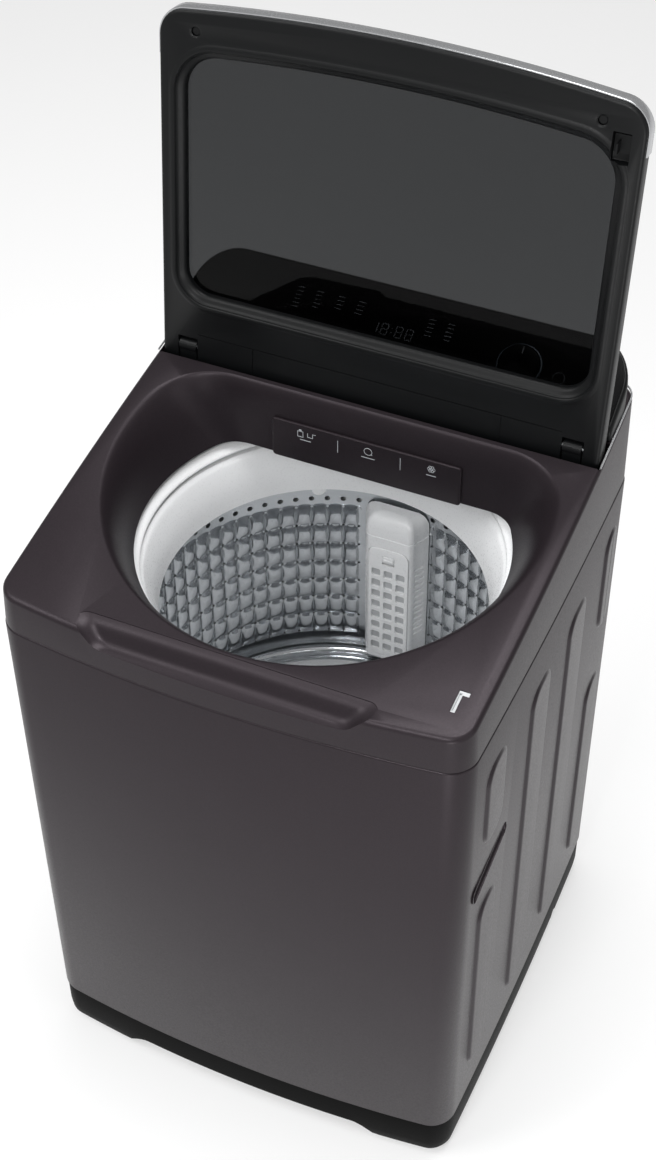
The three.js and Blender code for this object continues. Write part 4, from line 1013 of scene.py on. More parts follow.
# ---- console ------------------------------------------------------------------------------
@dataclass
class Console:
    """Sloping control console: black housing, bright trim, printed glass and the dial."""

    front: float = 180.0
    rear: float = 278.0
    half: float = 276.2
    corner: float = 54.0
    slope: float = 30.0
    rim: float = 5.0
    glass: float = 3.5
    dial: Point = (149.0, 224.0)

    def plan(self, inset: float) -> list[Point]:
        """Plan of the console, drawn in by inset."""
        half, r = self.half - inset, max(self.corner - inset, 2)
        return rounded_rect(-half, half, self.front + inset, self.rear - inset, [3, r, r, 3], 12, 6)

    def panel_z(self, y: float) -> float:
        """Height of the sloping panel at a depth y."""
        edge = PANEL_HIGH.z + math.tan(math.radians(self.slope)) * (self.rim)
        return edge - math.tan(math.radians(self.slope)) * (self.rear - y)

    def on_panel(self, inset: float, drop: float) -> list[Point3]:
        """A ring of the console's plan, below the panel's plane by drop."""
        return [(x, y, self.panel_z(y) - drop) for x, y in self.plan(inset)]

    def on_cover(self, inset: float, lift: float) -> list[Point3]:
        """A ring of the console's plan, above the cover by lift."""
        return [(x, y, BODY.top(y) + lift) for x, y in self.plan(inset)]

    def place(self, x: float, y: float) -> Matrix:
        """Frame of a detail on the panel: its Z stands square to the glass."""
        return (Matrix.Translation((x, y, self.panel_z(y)))
                @ Matrix.Rotation(math.radians(self.slope), 4, "X"))

    def build(self) -> None:
        """Builds the console."""
        lip, rim, glass = 2.8, self.rim, self.glass
        rings = [self.on_cover(0, lip), self.on_panel(0, 8), self.on_panel(0.3, 5.2),
                 self.on_panel(1.0, 2.9), self.on_panel(2.2, 1.1), self.on_panel(3.4, 0.2),
                 self.on_panel(rim - 0.5, 0.1), self.on_panel(rim - 0.4, glass + 0.4),
                 self.on_panel(rim + 6, glass + 0.4), self.on_panel(rim + 6, glass + 3.4),
                 self.on_panel(6.0, glass + 4.2), self.on_cover(6.0, lip)]
        housing = skinned("housing", rings, wrap=True)
        done(housing, "console_body", "cabinet", BLACK_ABS, "console_housing")
        rings = [self.on_panel(rim, glass), self.on_panel(rim, 0.5), self.on_panel(rim + 0.2, 0.15),
                 self.on_panel(rim + 0.7, 0.0)]
        done(skinned("glass", rings), "console_glass", "cabinet", PANEL, "console_panel", smooth=8)
        self.build_trim()
        self.build_print()
        self.build_dial()

    def build_trim(self) -> None:
        """Makes the bright strip on the joint between cover and console."""
        spans = ((3.4, 0.5), (3.2, 0.8), (3.2, 2.0), (3.5, 2.35), (4.8, 2.35), (4.8, 0.5))
        rings = [[(x, y, BODY.top(y) + lift) for x, y in footprint(inset)] for inset, lift in spans]
        strip = skinned("trim", rings, wrap=True)
        combined(strip, block("front", (-400, -400, 0), (400, 138, 2000)))
        done(strip, "console_strip", "cabinet", PLATING, "console_trim", smooth=50)

    def build_print(self) -> None:
        """Prints the time display, the programme marks and the start mark on the glass."""
        display_y, list_y, foot_y = 226.0, 238.0, 205.0
        strokes = ((0, 7, 6.4, 0.9), (0, 0, 6.4, 0.9), (0, -7, 6.4, 0.9), (-3.9, 3.5, 0.9, 6),
                   (3.9, 3.5, 0.9, 6), (-3.9, -3.5, 0.9, 6), (3.9, -3.5, 0.9, 6))
        bars = []
        for digit, x in enumerate((-33.0, -20.0, -2.0, 11.0)):
            for across, up, wide, high in strokes:
                if digit != 0 or across > 0:
                    bars.append(self.mark(x + across, display_y, up, wide, high))
        bars += [self.mark(-11.0, display_y, up, 1.2, 1.2) for up in (2.6, -2.6)]
        for x, rows in ((-137, 6), (-112, 5), (-84, 4), (-58, 4), (32, 5), (56, 5)):
            bars += [self.mark(x, list_y, 12.0 - 5.2 * row, 8.5, 0.8) for row in range(rows)]
        bars += [self.mark(-137 + 32 * k, foot_y, 0.0, 7.0, 0.8) for k in range(8)]
        done(welded("print", bars), "panel_print", "cabinet", PRINT)
        ring = moved(hoop("start", (0, 0, 0.0), (0, 0, 1), 7.0, 0.3, 40, 6), self.place(198.0, 221.0))
        done(ring, "start_mark", "cabinet", PRINT)

    def mark(self, x: float, y: float, up: float, wide: float, high: float) -> Obj:
        """A printed bar: its middle is up the slope from (x, y) by up."""
        bar = block("mark", (-wide / 2, up - high / 2, -0.05), (wide / 2, up + high / 2, 0.12))
        return moved(bar, self.place(x, y))

    def build_dial(self) -> None:
        """Makes the turning dial: a black knob with a light guide round its foot and a pointer."""
        place = self.place(*self.dial)
        knob = [(0.5, 7.0), (23.4, 7.0), (24.6, 5.6), (25.2, 2.4), (25.2, 1.4), (0.5, 1.4)]
        body = turned("knob", filleted(knob, 0.7, 3), 120, wrap=False)
        done(moved(body, place), "dial_knob", "dial", PANEL, "dial", smooth=40)
        guide = [(25.3, 0.8), (26.9, 0.8), (26.9, 1.9), (25.3, 2.2)]
        ring = turned("ring", filleted(guide, 0.4, 2), 96)
        done(moved(ring, place), "dial_ring", "dial", GUIDE)
        pointer = block("pointer", (-0.7, 13.0, 6.9), (0.7, 21.5, 7.15))
        done(moved(pointer, place), "dial_pointer", "dial", PRINT)


# ---- lid ----------------------------------------------------------------------------------
@dataclass
class Lid:
    """Open lid: black frame round a smoked glass pane, with a bright strip on its far edge."""

    half: float = 277.0
    length: float = 433.0
    bow: float = 18.0
    corner: float = 30.0
    frame_deep: float = 14.0
    lean: float = 6.5
    foot_y: float = 143.0
    foot_drop: float = 9.5
    window: tuple[float, float, float] = (246.0, 92.0, 380.0)     # half width, bottom, top corners
    window_bow: float = 14.0
    notch_x: float = 242.0

    def frame_matrix(self) -> Matrix:
        """Place of the lid: drawn upright, X across, Y its depth and Z up, then leaned back."""
        foot = Vector((0, self.foot_y, BODY.top(self.foot_y) - self.foot_drop))
        return Matrix.Translation(foot) @ Matrix.Rotation(-math.radians(self.lean), 4, "X")

    def plan(self, inset: float) -> list[Point]:
        """Outline of the lid, drawn in by inset: across and up."""
        r, half = self.corner - inset, self.half - inset
        rect = rounded_rect(-half, half, inset - self.length, -inset, [r, 4, 4, r], 10, 20)
        return [(x, -y) for x, y in bowed(rect, self.bow, 0)][::-1]

    def window_plan(self, grow: float) -> list[Point]:
        """Outline of the window, let out by grow: its top edge is bowed."""
        half, low, high = self.window
        far, near = 38 + grow, 30 + grow
        rect = rounded_rect(-half - grow, half + grow, -high - grow, -low + grow, [far, near, near, far],
                            10, 20)
        return [(x, -y) for x, y in bowed(rect, self.window_bow, 0)][::-1]

    def rings(self, spans: Sequence[Point], window: bool = False) -> list[list[Point3]]:
        """Rings of the lid's or the window's outline at several offsets and depths."""
        outline = self.window_plan if window else self.plan
        return [[(x, depth, up) for x, up in outline(offset)] for offset, depth in spans]

    def build(self) -> None:
        """Builds the lid."""
        place = self.frame_matrix()
        self.build_frame(place)
        glass = skinned("pane", self.rings([(5.5, 14.4), (5.4, 14.8), (5.4, 19.3), (6.0, 19.9)]))
        for side in (-1, 1):
            x = side * self.notch_x
            combined(glass, block("notch", (x - 15, 0, -5), (x + 15, 30, 36)))
        done(moved(glass, place), "lid_pane", "lid", SMOKED, "lid_glass", smooth=4)
        spans = [(0.4, 4.0), (0.0, 4.8), (0.0, 19.0), (0.3, 19.7), (0.9, 20.0), (1.6, 20.0), (1.6, 4.0)]
        strip = skinned("strip", self.rings(spans), wrap=True)
        combined(strip, block("below", (-400, -50, -50), (400, 50, self.length - 53)))
        done(moved(strip, place), "lid_strip", "lid", PLATING, "lid_trim", smooth=50)

    def build_frame(self, place: Matrix) -> None:
        """Makes the frame with its window, raised rim, notches, pocket and screw recesses."""
        skin = [(6.0, 0.0), (4.0, 0.4), (2.6, 1.4), (2.0, 3.0), (2.0, 19.2), (2.4, 19.9), (5.0, 19.9),
                (5.0, self.frame_deep)]
        body = skinned("frame", self.rings(skin))
        hole = [(10.5, -6.0), (10.0, 0.4), (9.0, 1.8), (7.0, 3.2), (4.6, 4.2), (2.6, 5.4), (1.2, 7.2),
                (0.8, 9.0), (0.8, 30.0)]
        combined(body, skinned("window", self.rings(hole, window=True)))
        rim = [(10.4, 0.8), (10.5, -0.6), (11.4, -1.5), (13.0, -1.8), (15.0, -1.5), (17.2, -0.6),
               (19.5, 0.5), (17.0, 1.4), (12.0, 1.4)]
        combined(body, skinned("rim", self.rings(rim, window=True), wrap=True), How.JOIN)
        for side in (-1, 1):
            x = side * self.notch_x
            combined(body, block("notch", (x - 13, -5, -5), (x + 13, 30, 34), 1.0))
            combined(body, rod("pin", (x - 21, 6.0, 20.8), (x + 21, 6.0, 20.8), 3.4, 24))
        pocket_x = (LOCK_LOW.x + LOCK_HIGH.x) / 2
        combined(body, block("pocket", (pocket_x - 7, -5, self.length - 64),
                             (pocket_x + 13, 10, self.length - 30), 1.0))
        for x, up in ((-231.0, 413.0), (227.0, 411.0)):
            combined(body, self.recess(x, up))
        seams = ((-228, 228, 40.0, 41.2), (-156.6, -155.4, -2, 40), (155.4, 156.6, -2, 40))
        for x0, x1, low, high in seams:
            combined(body, block("seam", (x0, -4, low), (x1, 0.9, high)))
        done(moved(body, place), "lid_surround", "lid", BLACK_ABS, "lid_frame", smooth=30)

    def recess(self, x: float, up: float) -> Obj:
        """A countersunk recess in the inner face."""
        turn = [2 * math.pi * i / 40 for i in range(40)]
        spans = ((8.5, -2.0), (8.0, 0.0), (6.4, 0.6), (5.2, 1.4), (5.0, 7.0))
        return skinned("recess", [[(x + r * math.cos(a), depth, up + r * math.sin(a)) for a in turn]
                                  for r, depth in spans])


# ---- tub's cover ring and balance ring ----------------------------------------------------
@dataclass
class Rings:
    """White rings above the basket: the tub's cover ring and the basket's balance ring."""

    throat: float = 211.0         # radius of the tub ring's opening
    waist: float = 194.8          # radius of the balance ring's face at its foot
    flare: float = 12.6           # radius that the face gains to its top
    belly: float = 2.6            # how far the face stands in at its middle
    plug_angle: float = -26.0     # where the balance ring's filling plug sits

    def build(self) -> None:
        """Builds both rings and the plug."""
        self.build_tub_ring()
        self.build_balance_ring()

    def build_tub_ring(self) -> None:
        """Makes the tub's cover ring with its rolled inner edge."""
        inner, outer, top = self.throat, RING_HIGH.x, RING_HIGH.z
        profile = [(inner, top - 8.6), (inner + 1.2, top - 6.4), (inner + 4, top - 4.2),
                   (inner + 8.5, top - 1.6), (inner + 12, top), (outer, top), (outer, top - 10),
                   (outer - 4, top - 12), (inner + 12, top - 4.2), (inner + 4, top - 9.4),
                   (inner + 1.0, top - 11)]
        ring = turned("ring", filleted(profile, 2.2, 3), 160)
        done(ring, "tub_ring", "tub", WHITE_PP, "tub_cover_ring")

    def build_balance_ring(self) -> None:
        """Makes the flared balance ring and its filling plug."""
        low, high, outer = BALANCE_LOW.z, BALANCE_HIGH.z, BALANCE_HIGH.x
        steps = 10
        profile = [(196.5, low), (194.4, low + 2)]
        for k in range(steps + 1):
            s = k / steps
            radius = self.waist + self.flare * s - self.belly * math.sin(math.pi * s)
            profile.append((radius, low + 6 + (high - low - 12) * s))
        profile += [(209.4, high - 2.6), (213, high), (outer, high), (outer, low)]
        ring = turned("balance", profile, 160)
        a = math.radians(self.plug_angle)
        out = Vector((math.sin(a), math.cos(a), 0))
        foot = Vector((0, 0, low))
        plug = rod("plug", out * 195.5 + foot, out * 199 + foot, 9.0, 32, 0.8)
        done(welded("balance", [ring, plug]), "balance_rim", "drum", WHITE_PP, "balance_ring")


# ---- basket -------------------------------------------------------------------------------
@dataclass
class Basket:
    """Stainless basket: a quilted, perforated wall and a grooved floor."""

    radius: float = 234.0
    columns: int = 72
    phase: float = 1.8            # degrees from the rear to the first column
    top_hole: float = 606.0
    bottom_hole: float = 381.0
    rows: int = 8
    hole: float = 1.9
    vent: float = 3.7             # radius of the larger holes in the plain top band
    vent_z: float = 618.5
    bulge: float = 4.2            # how far the quilting stands in
    fullness: float = 0.62        # below 1 the bulges are squarer
    plain: Point = (-13.2, 11.8)  # the smooth strip behind the filter, in degrees
    sheet: float = 0.8

    @property
    def pitch(self) -> float:
        """Distance between two rows of holes."""
        return (self.top_hole - self.bottom_hole) / (self.rows - 1)

    def relief(self, angle: float, z: float) -> float:
        """How far the quilted wall stands in from the cylinder at an angle and a height."""
        turn = (angle + 180) % 360 - 180
        if not self.bottom_hole < z < self.top_hole or self.plain[0] < turn < self.plain[1]:
            return 0.0
        across = math.sin(math.pi * (angle - self.phase) / (360 / self.columns))
        up = math.sin(math.pi * (z - self.top_hole) / self.pitch)
        return self.bulge * abs(across * up) ** self.fullness

    def strip(self, low: float, high: float, centre: float, hole: float, inner: int,
              lines: tuple[float, ...]) -> Obj:
        """A flat strip of tiles with one hole each; X runs round the wall.

        Args:
            low, high: the strip's edges.
            centre: height of the holes.
            hole: their radius.
            inner: which ring of the tile's grid becomes the hole's edge.
            lines: the grid's lines, from the tile's middle to its edge.

        Returns:
            The strip, an open sheet.
        """
        wide = 2 * math.pi * self.radius / self.columns
        last = len(lines) - 1
        bpy.ops.object.select_all(action="DESELECT")
        bpy.ops.mesh.primitive_grid_add(x_subdivisions=2 * last, y_subdivisions=2 * last, size=2.0)
        tile = added("tile")
        bpy.ops.object.mode_set(mode="EDIT")
        bpy.ops.mesh.select_mode(type="VERT")
        bpy.ops.mesh.select_all(action="DESELECT")
        for vert in bmesh.from_edit_mesh(tile.data).verts:
            i, j = round(vert.co.x * last), round(vert.co.y * last)
            ring = max(abs(i), abs(j))
            vert.select = ring < inner
            u, v = math.copysign(lines[abs(i)], i), math.copysign(lines[abs(j)], j)
            x, z = u * wide / 2, (low + high) / 2 + v * (high - low) / 2
            if ring == inner:
                reach = math.hypot(i, j)
                x, z = hole * i / reach, centre + hole * j / reach
            vert.co = Vector((x, 0, z)) * MM
        bpy.ops.mesh.delete(type="VERT")
        bpy.ops.object.mode_set(mode="OBJECT")
        row = tile.modifiers.new("row", "ARRAY")
        row.count = self.columns
        row.use_relative_offset = False
        row.use_constant_offset = True
        row.constant_offset_displace = (wide * MM, 0, 0)
        row.use_merge_vertices = True
        row.merge_threshold = 0.05 * MM
        bpy.ops.object.modifier_apply(modifier=row.name)
        return tile

    def build(self) -> None:
        """Builds the wall from its strips, rolls it up, draws out its ends and gives it its sheet."""
        pitch = self.pitch
        vent_low, vent_high = self.top_hole + 5.5, self.vent_z + 7.5
        foot = self.bottom_hole - 9.0
        quilt = (0.0, 0.18, 0.34, 0.62, 1.0)
        band = (0.0, 0.2, 0.36, 0.68, 1.0)
        strips = [self.strip(vent_low, vent_high, self.vent_z, self.vent, 2, band),
                  self.strip(self.top_hole - pitch / 2, vent_low, self.top_hole, self.hole, 1, quilt)]
        for row in range(1, self.rows):
            z = self.top_hole - row * pitch
            low = z - pitch / 2 if row < self.rows - 1 else foot
            strips.append(self.strip(low, z + pitch / 2, z, self.hole, 1, quilt))
        wall = welded("wall", strips)
        for vert in wall.data.vertices:
            angle = vert.co.x / (2 * math.pi * self.radius * MM) * 360 + self.phase
            z = vert.co.z / MM
            r = self.radius - self.relief(angle, z)
            a = math.radians(angle)
            vert.co = Vector((r * math.sin(a), r * math.cos(a), z)) * MM
        bpy.ops.object.mode_set(mode="EDIT")
        bpy.ops.mesh.select_all(action="SELECT")
        bpy.ops.mesh.remove_doubles(threshold=0.05 * MM)
        r, floor = self.radius, BASKET_FLOOR
        self.draw_out(wall, vent_high, [(r, vent_high + 14), (r, BASKET_HIGH.z)])
        self.draw_out(wall, foot, [
            (r, floor + 14), (r - 0.8, floor + 8), (r - 3.4, floor + 3.4), (r - 8, floor + 0.6),
            (r - 13, floor), (219, floor + 0.4), (217, floor + 2.6), (213, floor + 2.8),
            (210.5, floor + 0.5), (204, floor), (150, floor), (62, floor)])
        bpy.ops.mesh.select_all(action="SELECT")
        bpy.ops.mesh.normals_make_consistent(inside=False)
        mesh = bmesh.from_edit_mesh(wall.data)
        mesh.faces.ensure_lookup_table()
        face = next(f for f in mesh.faces if f.calc_center_median().z > (vent_high + 2) * MM)
        if face.normal.dot(face.calc_center_median() * Vector((1, 1, 0))) > 0:
            bpy.ops.mesh.flip_normals()
        bpy.ops.object.mode_set(mode="OBJECT")
        sheet = wall.modifiers.new("sheet", "SOLIDIFY")
        sheet.thickness = self.sheet * MM
        sheet.offset = -1.0
        bpy.ops.object.modifier_apply(modifier=sheet.name)
        done(wall, "basket_sheet", "drum", STAINLESS, "drum_basket", smooth=50)

    def draw_out(self, wall: Obj, edge: float, profile: Sequence[Point]) -> None:
        """Extrudes the wall's open edge at a height along a profile of radius and height."""
        bpy.ops.mesh.select_all(action="DESELECT")
        mesh = bmesh.from_edit_mesh(wall.data)
        for vert in mesh.verts:
            vert.select = abs(vert.co.z / MM - edge) < 0.2
        mesh.select_flush_mode()
        for r, z in profile:
            bpy.ops.mesh.extrude_region_move()
            mesh = bmesh.from_edit_mesh(wall.data)
            for vert in mesh.verts:
                if vert.select:
                    angle = math.atan2(vert.co.x, vert.co.y)
                    vert.co = Vector((r * math.sin(angle), r * math.cos(angle), z)) * MM


# ---- lint filter --------------------------------------------------------------------------
@dataclass
class LintFilter:
    """White filter on the basket's wall: housing with louvres, a windowed door and its catch."""

    face_y: float = 200.0
    back_y: float = FILTER_HIGH.y
    face_half: float = 34.0
    back_half: float = 44.0
    corner: float = 9.0
    louvres: int = 13
    louvre_pitch: float = 9.6
    window_rows: int = 8
    window_pitch: Point = (17.0, 19.0)      # across and up
    window_half: Point = (6.2, 6.6)
    gap: float = 0.6              # round the door

    def plan(self, inset: float, back: float) -> list[Point]:
        """Plan of the housing, drawn in by inset and with its front pushed back."""
        steps = 8
        y0, y1 = self.face_y + back, self.back_y
        half0, half1 = self.face_half - inset, self.back_half - inset
        r = max(self.corner - inset * 0.4, 1.0)
        points: list[Point] = [(-half1, y1), (-half1 + (half1 - half0) * 0.5, (y1 + y0) / 2 + 2)]
        for k in range(steps + 1):
            a = math.radians(180 + 90 * k / steps)
            points.append((-half0 + r + r * math.cos(a), y0 + r + r * math.sin(a)))
        points += [(-x, y) for x, y in points[::-1]]
        return points

    def build(self) -> None:
        """Builds the housing, the door, its net and the catch."""
        self.build_case()
        self.build_door()
        self.build_catch()

    def build_case(self) -> None:
        """Makes the housing: a hollow body with a rounded head, the door's seat and the louvres."""
        low, top = FILTER_LOW.z, FILTER_HIGH.z
        spans = [(3.0, 2.6, low), (1.0, 0.8, low + 1.4), (0.0, 0.0, low + 4), (0.0, 0.0, top - 34.6),
                 (0.9, 0.8, top - 34.2), (0.9, 0.8, top - 32.8), (0.0, 0.0, top - 32.4),
                 (0.0, 0.0, top - 22), (0.6, 0.8, top - 16), (2.2, 2.6, top - 10.5),
                 (4.6, 5.4, top - 6.4), (8.0, 9.0, top - 3.2), (12.5, 13.0, top - 1.2),
                 (18.0, 17.5, top - 0.2)]
        rings = [[(x, y, z) for x, y in self.plan(inset, back)] for inset, back, z in spans]
        shell = skinned("shell", rings)
        middle_y = 225.0
        cavity = [[(x * 0.9, y + 2.2 if y < middle_y else y - 2.2, z) for x, y in self.plan(0.6, 0.4)]
                  for z in (low + 3, top - 40)]
        combined(shell, skinned("cavity", cavity))
        gap = self.gap
        seat = rounded_rect(DOOR_LOW.x - gap, DOOR_HIGH.x + gap, DOOR_LOW.z - gap, DOOR_HIGH.z + gap,
                            [3, 12, 12, 3], 6, 1)
        depths = (self.face_y - 6, self.face_y + 6)
        combined(shell, skinned("seat", [[(x, y, z) for x, z in seat] for y in depths]))
        for side in (-1, 1):
            x0, x1 = sorted((side * 33, side * 60))
            for k in range(self.louvres):
                z = low + 58 + self.louvre_pitch * k
                combined(shell, block("louvre", (x0, 206.5, z - 2.3), (x1, 222, z + 2.3), 1.0))
        done(shell, "filter_case", "drum", WHITE_PP, "filter_housing", smooth=34)

    def build_door(self) -> None:
        """Makes the door with three columns of windows and the net behind them."""
        front, back = DOOR_LOW.y, DOOR_HIGH.y
        door = face_plate("door", DOOR_LOW, DOOR_HIGH, [3, 12, 12, 3])
        half_x, half_z = self.window_half
        for row in range(self.window_rows):
            for column in (-1, 0, 1):
                x, z = column * self.window_pitch[0], DOOR_LOW.z + 16 + row * self.window_pitch[1]
                hole = rounded_rect(x - half_x, x + half_x, z - half_z, z + half_z, [2.2] * 4, 3, 1)
                rings = [[(a, y, b) for a, b in hole] for y in (front - 4, back + 4)]
                combined(door, skinned("hole", rings))
        slot = block("slot", (LATCH_LOW.x - 0.5, front - 4, LATCH_LOW.z - 4.5),
                     (LATCH_HIGH.x + 0.5, back + 4, LATCH_HIGH.z + 0.5))
        combined(door, slot)
        done(door, "filter_flap", "filter_door", WHITE_PP, "filter_door", smooth=34)
        net = block("net", (DOOR_LOW.x + 3, back + 0.1, DOOR_LOW.z + 4),
                    (DOOR_HIGH.x - 3, back + 0.7, DOOR_LOW.z + 160), 0.1)
        done(net, "filter_net", "filter_door", GREY_POM)

    def build_catch(self) -> None:
        """Makes the sliding catch with its finger ridge."""
        catch = block("catch", LATCH_LOW, LATCH_HIGH, 0.7)
        ridge = block("ridge", (LATCH_LOW.x + 2, LATCH_LOW.y - 1.0, LATCH_LOW.z + 3.6),
                      (LATCH_HIGH.x - 2, LATCH_LOW.y + 0.6, LATCH_LOW.z + 6.4), 0.5)
        done(welded("catch", [catch, ridge]), "filter_catch", "filter_latch", WHITE_PP, "filter_latch")


# ---- pulsator -----------------------------------------------------------------------------
@dataclass
class Pulsator:
    """White pulsator: a shallow dish with curved ribs round a raised cap."""

    ribs: int = 6
    rim: float = 200.0
    foot: float = BASKET_FLOOR + 4.0
    dish: tuple[Point, ...] = ((0.0, 43.0), (20.0, 42.0), (55.0, 34.0), (90.0, 22.0), (170.0, 16.0),
                               (200.0, 9.0))     # radius, height above the foot

    def surface(self, r: float) -> float:
        """Height of the dish above the pulsator's foot, at a radius."""
        for (r0, h0), (r1, h1) in zip(self.dish, self.dish[1:]):
            if r <= r1:
                return h0 + (h1 - h0) * soft_step((r - r0) / (r1 - r0))
        return self.dish[-1][1]

    def build(self) -> None:
        """Builds the dish, its ribs and the cap."""
        z, rim = self.foot, self.rim
        profile = [(9.0, z), (rim - 6, z), (rim - 1.2, z + 1.6), (rim, z + 5), (rim - 0.6, z + 8)]
        radii = (196, 188, 178, 166, 150, 130, 110, 96, 84, 72, 60, 48, 36, 26)
        profile += [(r, z + self.surface(r)) for r in radii]
        profile += [(24.5, z + 39.2), (23.5, z + 42.4), (20.0, z + 43.4), (9.0, z + 43.8)]
        rib = self.rib()
        parts = [turned("dish", profile, 128, wrap=False), rib]
        for k in range(1, self.ribs):
            parts.append(copied(rib, Matrix.Rotation(2 * math.pi * k / self.ribs, 4, "Z")))
        done(welded("pulsator", parts), "pulsator_dish", "pulsator", WHITE_PP, "pulsator", smooth=40)

    def rib(self) -> Obj:
        """One curved rib from the cap to the rim."""
        steps, around = 14, 12
        rings = []
        for k in range(steps + 1):
            s = k / steps
            r = 30 + 158 * s
            swell = math.sin(math.pi * min(max(s, 0.02), 0.98)) ** 0.5
            turn = 0.3 + 0.35 * s * s
            wide, high = (5.5 + 5.5 * s) * swell, (10.0 - 2.0 * s) * swell
            ring = []
            for i in range(around + 1):
                a = math.pi * i / around
                across, up = wide * math.cos(a), high * math.sin(a)
                ring.append((r * math.cos(turn) - across * math.sin(turn),
                             r * math.sin(turn) + across * math.cos(turn),
                             self.foot + self.surface(r) - 1.5 + up))
            rings.append(ring)
        return skinned("rib", rings)


# ---- suspension springs -------------------------------------------------------------------
@dataclass
class Springs:
    """Four coil springs that carry the tub; they give as it sinks and rises."""

    wire: float = 2.1             # its radius
    turns: float = 5.5
    closed: float = 0.11          # part of the wire in the closed turn at each end
    end_rise: float = 1.6         # even slope over the whole coil, closed turns included
    taper: float = 0.35           # part of the travel that gathers in the uppermost turns

    def build(self) -> None:
        """Winds each spring in the place of its sleeve."""
        for place in ("front_left", "front_right", "rear_left", "rear_right"):
            node = f"suspension_spring_{place}"
            low, high = node_box(node)
            x, y = (low.x + high.x) / 2, (low.y + high.y) / 2
            coil = self.coil((high.x - low.x) / 2, low.z, high.z)
            done(moved(coil, Matrix.Translation((x, y, 0))), f"spring_{place}", "", ZINC, node, smooth=60)
            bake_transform(coil)

    def coil(self, outer: float, low: float, high: float) -> Obj:
        """One coil with closed, flat end turns."""
        steps, around = int(self.turns * 28), 10
        middle = outer - self.wire
        travel = high - low - 2 * self.wire - self.end_rise
        rings = []
        for k in range(steps + 1):
            s = k / steps
            turn = 2 * math.pi * self.turns * s
            t = (s - self.closed) / (1 - 2 * self.closed)
            rise = ease(t) * self.taper + min(max(t, 0.0), 1.0) * (1 - self.taper)
            z = low + self.wire + self.end_rise * s + travel * rise
            ring = []
            for i in range(around):
                a = 2 * math.pi * i / around
                r = middle + self.wire * math.cos(a)
                ring.append((r * math.cos(turn), r * math.sin(turn), z + self.wire * math.sin(a)))
            rings.append(ring)
        return skinned("coil", rings)


ASSEMBLIES = (Cabinet, TopCover, Console, Lid, Rings, Basket, LintFilter, Pulsator, Springs)


# ---- stage --------------------------------------------------------------------------------
@dataclass(frozen=True)
class Lamp:
    """A square soft box: places and size in metres, power in watts."""

    name: str
    place: Point3
    aim: Point3
    size: float
    power: float


LAMPS = (Lamp("key", (-1.6, -1.2, 3.0), (0.0, 0.0, 0.7), 1.6, 42.0),
         Lamp("fill", (2.6, -0.9, 1.7), (0.1, 0.0, 0.5), 1.4, 7.0),
         Lamp("overhead", (0.2, 0.4, 3.4), (0.0, 0.0, 0.5), 1.4, 60.0),
         Lamp("well", (0.2, -1.5, 2.1), (0.03, 0.16, 0.55), 0.4, 15.0),
         Lamp("corner", (1.0, -2.0, 0.45), (0.27, -0.25, 0.45), 0.5, 13.0))
PAPER = Finish("white_paper_floor", "white_plastic", "c2c2c2", 0.8, grain=6.0, depth=0.0, mottle=0.004)


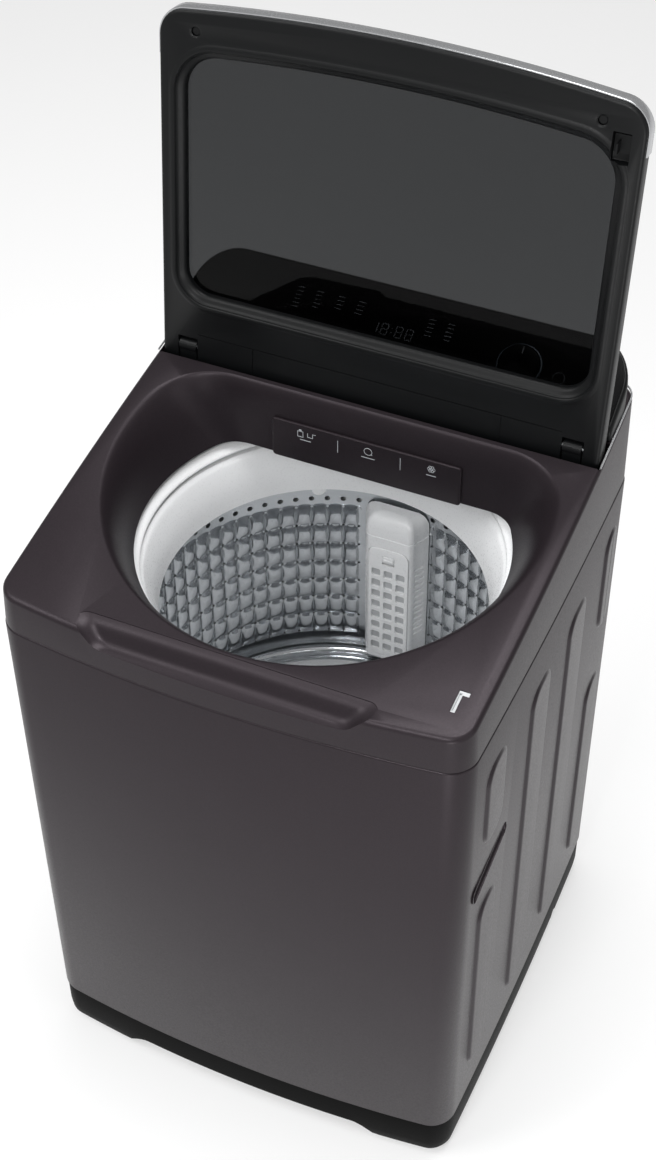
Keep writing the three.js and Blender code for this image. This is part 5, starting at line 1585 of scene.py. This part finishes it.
@dataclass
class Stage:
    """Pale floor, soft light and the camera."""

    eye: Point3 = (0.6872, -1.4884, 2.2448)     # metres
    aim: Point3 = (0.0057, 0.0, 0.6969)         # metres
    roll: float = -0.63
    lens: float = 59.8
    sensor: float = 36.0
    floor: float = 60.0           # metres across
    glow: float = 0.45            # light that the floor gives off
    surround: float = 0.4         # light from all round
    backdrop: float = 1.0         # how bright the surround itself looks
    def build(self) -> None:
        """Sets the stage."""
        self.build_camera()
        self.build_floor()
        self.build_light()

    def build_camera(self) -> None:
        """Places the camera."""
        data = bpy.data.cameras.new("view")
        data.sensor_fit = "VERTICAL"
        data.sensor_height = self.sensor
        data.lens = self.lens
        data.clip_end = 50.0
        camera = bpy.data.objects.new("view", data)
        bpy.context.collection.objects.link(camera)
        look = Vector(self.aim) - Vector(self.eye)
        roll = Matrix.Rotation(math.radians(self.roll), 3, "Z")
        turn = look.to_track_quat("-Z", "Y").to_matrix() @ roll
        camera.matrix_world = Matrix.Translation(self.eye) @ turn.to_4x4()
        bpy.context.scene.camera = camera

    def build_floor(self) -> None:
        """Lays the floor."""
        bpy.ops.object.select_all(action="DESELECT")
        bpy.ops.mesh.primitive_plane_add(size=self.floor, location=(0, 0, 0))
        floor = added("floor")
        material = PAPER.build()
        shader = next(node for node in material.node_tree.nodes if node.type == "BSDF_PRINCIPLED")
        shader.inputs["Emission Color"].default_value = (1.0, 1.0, 1.0, 1.0)
        shader.inputs["Emission Strength"].default_value = self.glow
        floor.data.materials.append(material)

    def build_light(self) -> None:
        """Hangs the soft boxes and sets the white surround."""
        world = bpy.data.worlds.new("surround")
        world.use_nodes = True
        tree = world.node_tree
        sky = tree.nodes["Background"]
        sky.inputs["Color"].default_value = (1.0, 1.0, 1.0, 1.0)
        path = add_node(tree, "ShaderNodeLightPath")
        level = add_node(tree, "ShaderNodeMapRange", {"To Min": self.surround, "To Max": self.backdrop},
                         {"Value": path.outputs["Is Camera Ray"]})
        tree.links.new(level.outputs[0], sky.inputs["Strength"])
        bpy.context.scene.world = world
        bpy.context.scene.view_settings.view_transform = "Standard"
        for lamp in LAMPS:
            data = bpy.data.lights.new(lamp.name, "AREA")
            data.shape = "SQUARE"
            data.size = lamp.size
            data.energy = lamp.power
            item = bpy.data.objects.new(lamp.name, data)
            bpy.context.collection.objects.link(item)
            turn = (Vector(lamp.aim) - Vector(lamp.place)).to_track_quat("-Z", "Y")
            item.matrix_world = Matrix.Translation(lamp.place) @ turn.to_matrix().to_4x4()


CAD_DRESS: dict[str, Finish] = {
    "drain_outlet": GREY_POM, "inlet_valve_hot": GREY_POM, "inlet_valve_cold": WHITE_PP,
    "lid_lock": GREY_POM, "lock_bolt": ZINC, "level_sensor": GREY_POM, "control_board": BOARD,
    "dispenser_housing": WHITE_PP, "drawer_tray": WHITE_PP, "lid_striker": BLACK_ABS,
    "hinge_pin_left": ZINC, "hinge_pin_right": ZINC, "tub_frame": ZINC, "gearcase": CAST,
    "motor": CAST, "drive_pulley": CAST, "motor_pulley": ZINC, "drive_belt": RUBBER,
    "drain_valve": BLACK_ABS, "drum_hub": CAST, "outer_tub": WHITE_PP, "cord_gland": RUBBER,
    "lid_screw_left": BLACK_ABS, "lid_screw_right": BLACK_ABS, "rear_foot_left": RUBBER,
    "rear_foot_right": RUBBER, "levelling_foot_left": RUBBER, "levelling_foot_right": RUBBER,
    "hinge_bracket_left": BLACK_ABS, "hinge_bracket_right": BLACK_ABS,
    "suspension_rod_front_left": ZINC, "suspension_rod_front_right": ZINC,
    "suspension_rod_rear_left": ZINC, "suspension_rod_rear_right": ZINC}


def dress_frame() -> None:
    """Gives every CAD node that still shows its own finish."""
    for node, finish in CAD_DRESS.items():
        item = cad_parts[node]
        item.data.materials.clear()
        item.data.materials.append(finish.build())
        for face in item.data.polygons:
            face.material_index = 0
        log.info("%s: frame node in %s", node, finish.name)


def main() -> None:
    """Builds the machine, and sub-assembly by sub-assembly."""
    logging.basicConfig(level=logging.INFO, format="%(name)s %(message)s")
    Stage().build()
    dress_frame()
    for assembly in ASSEMBLIES:
        assembly().build()


if __name__ == "__main__":
    main()
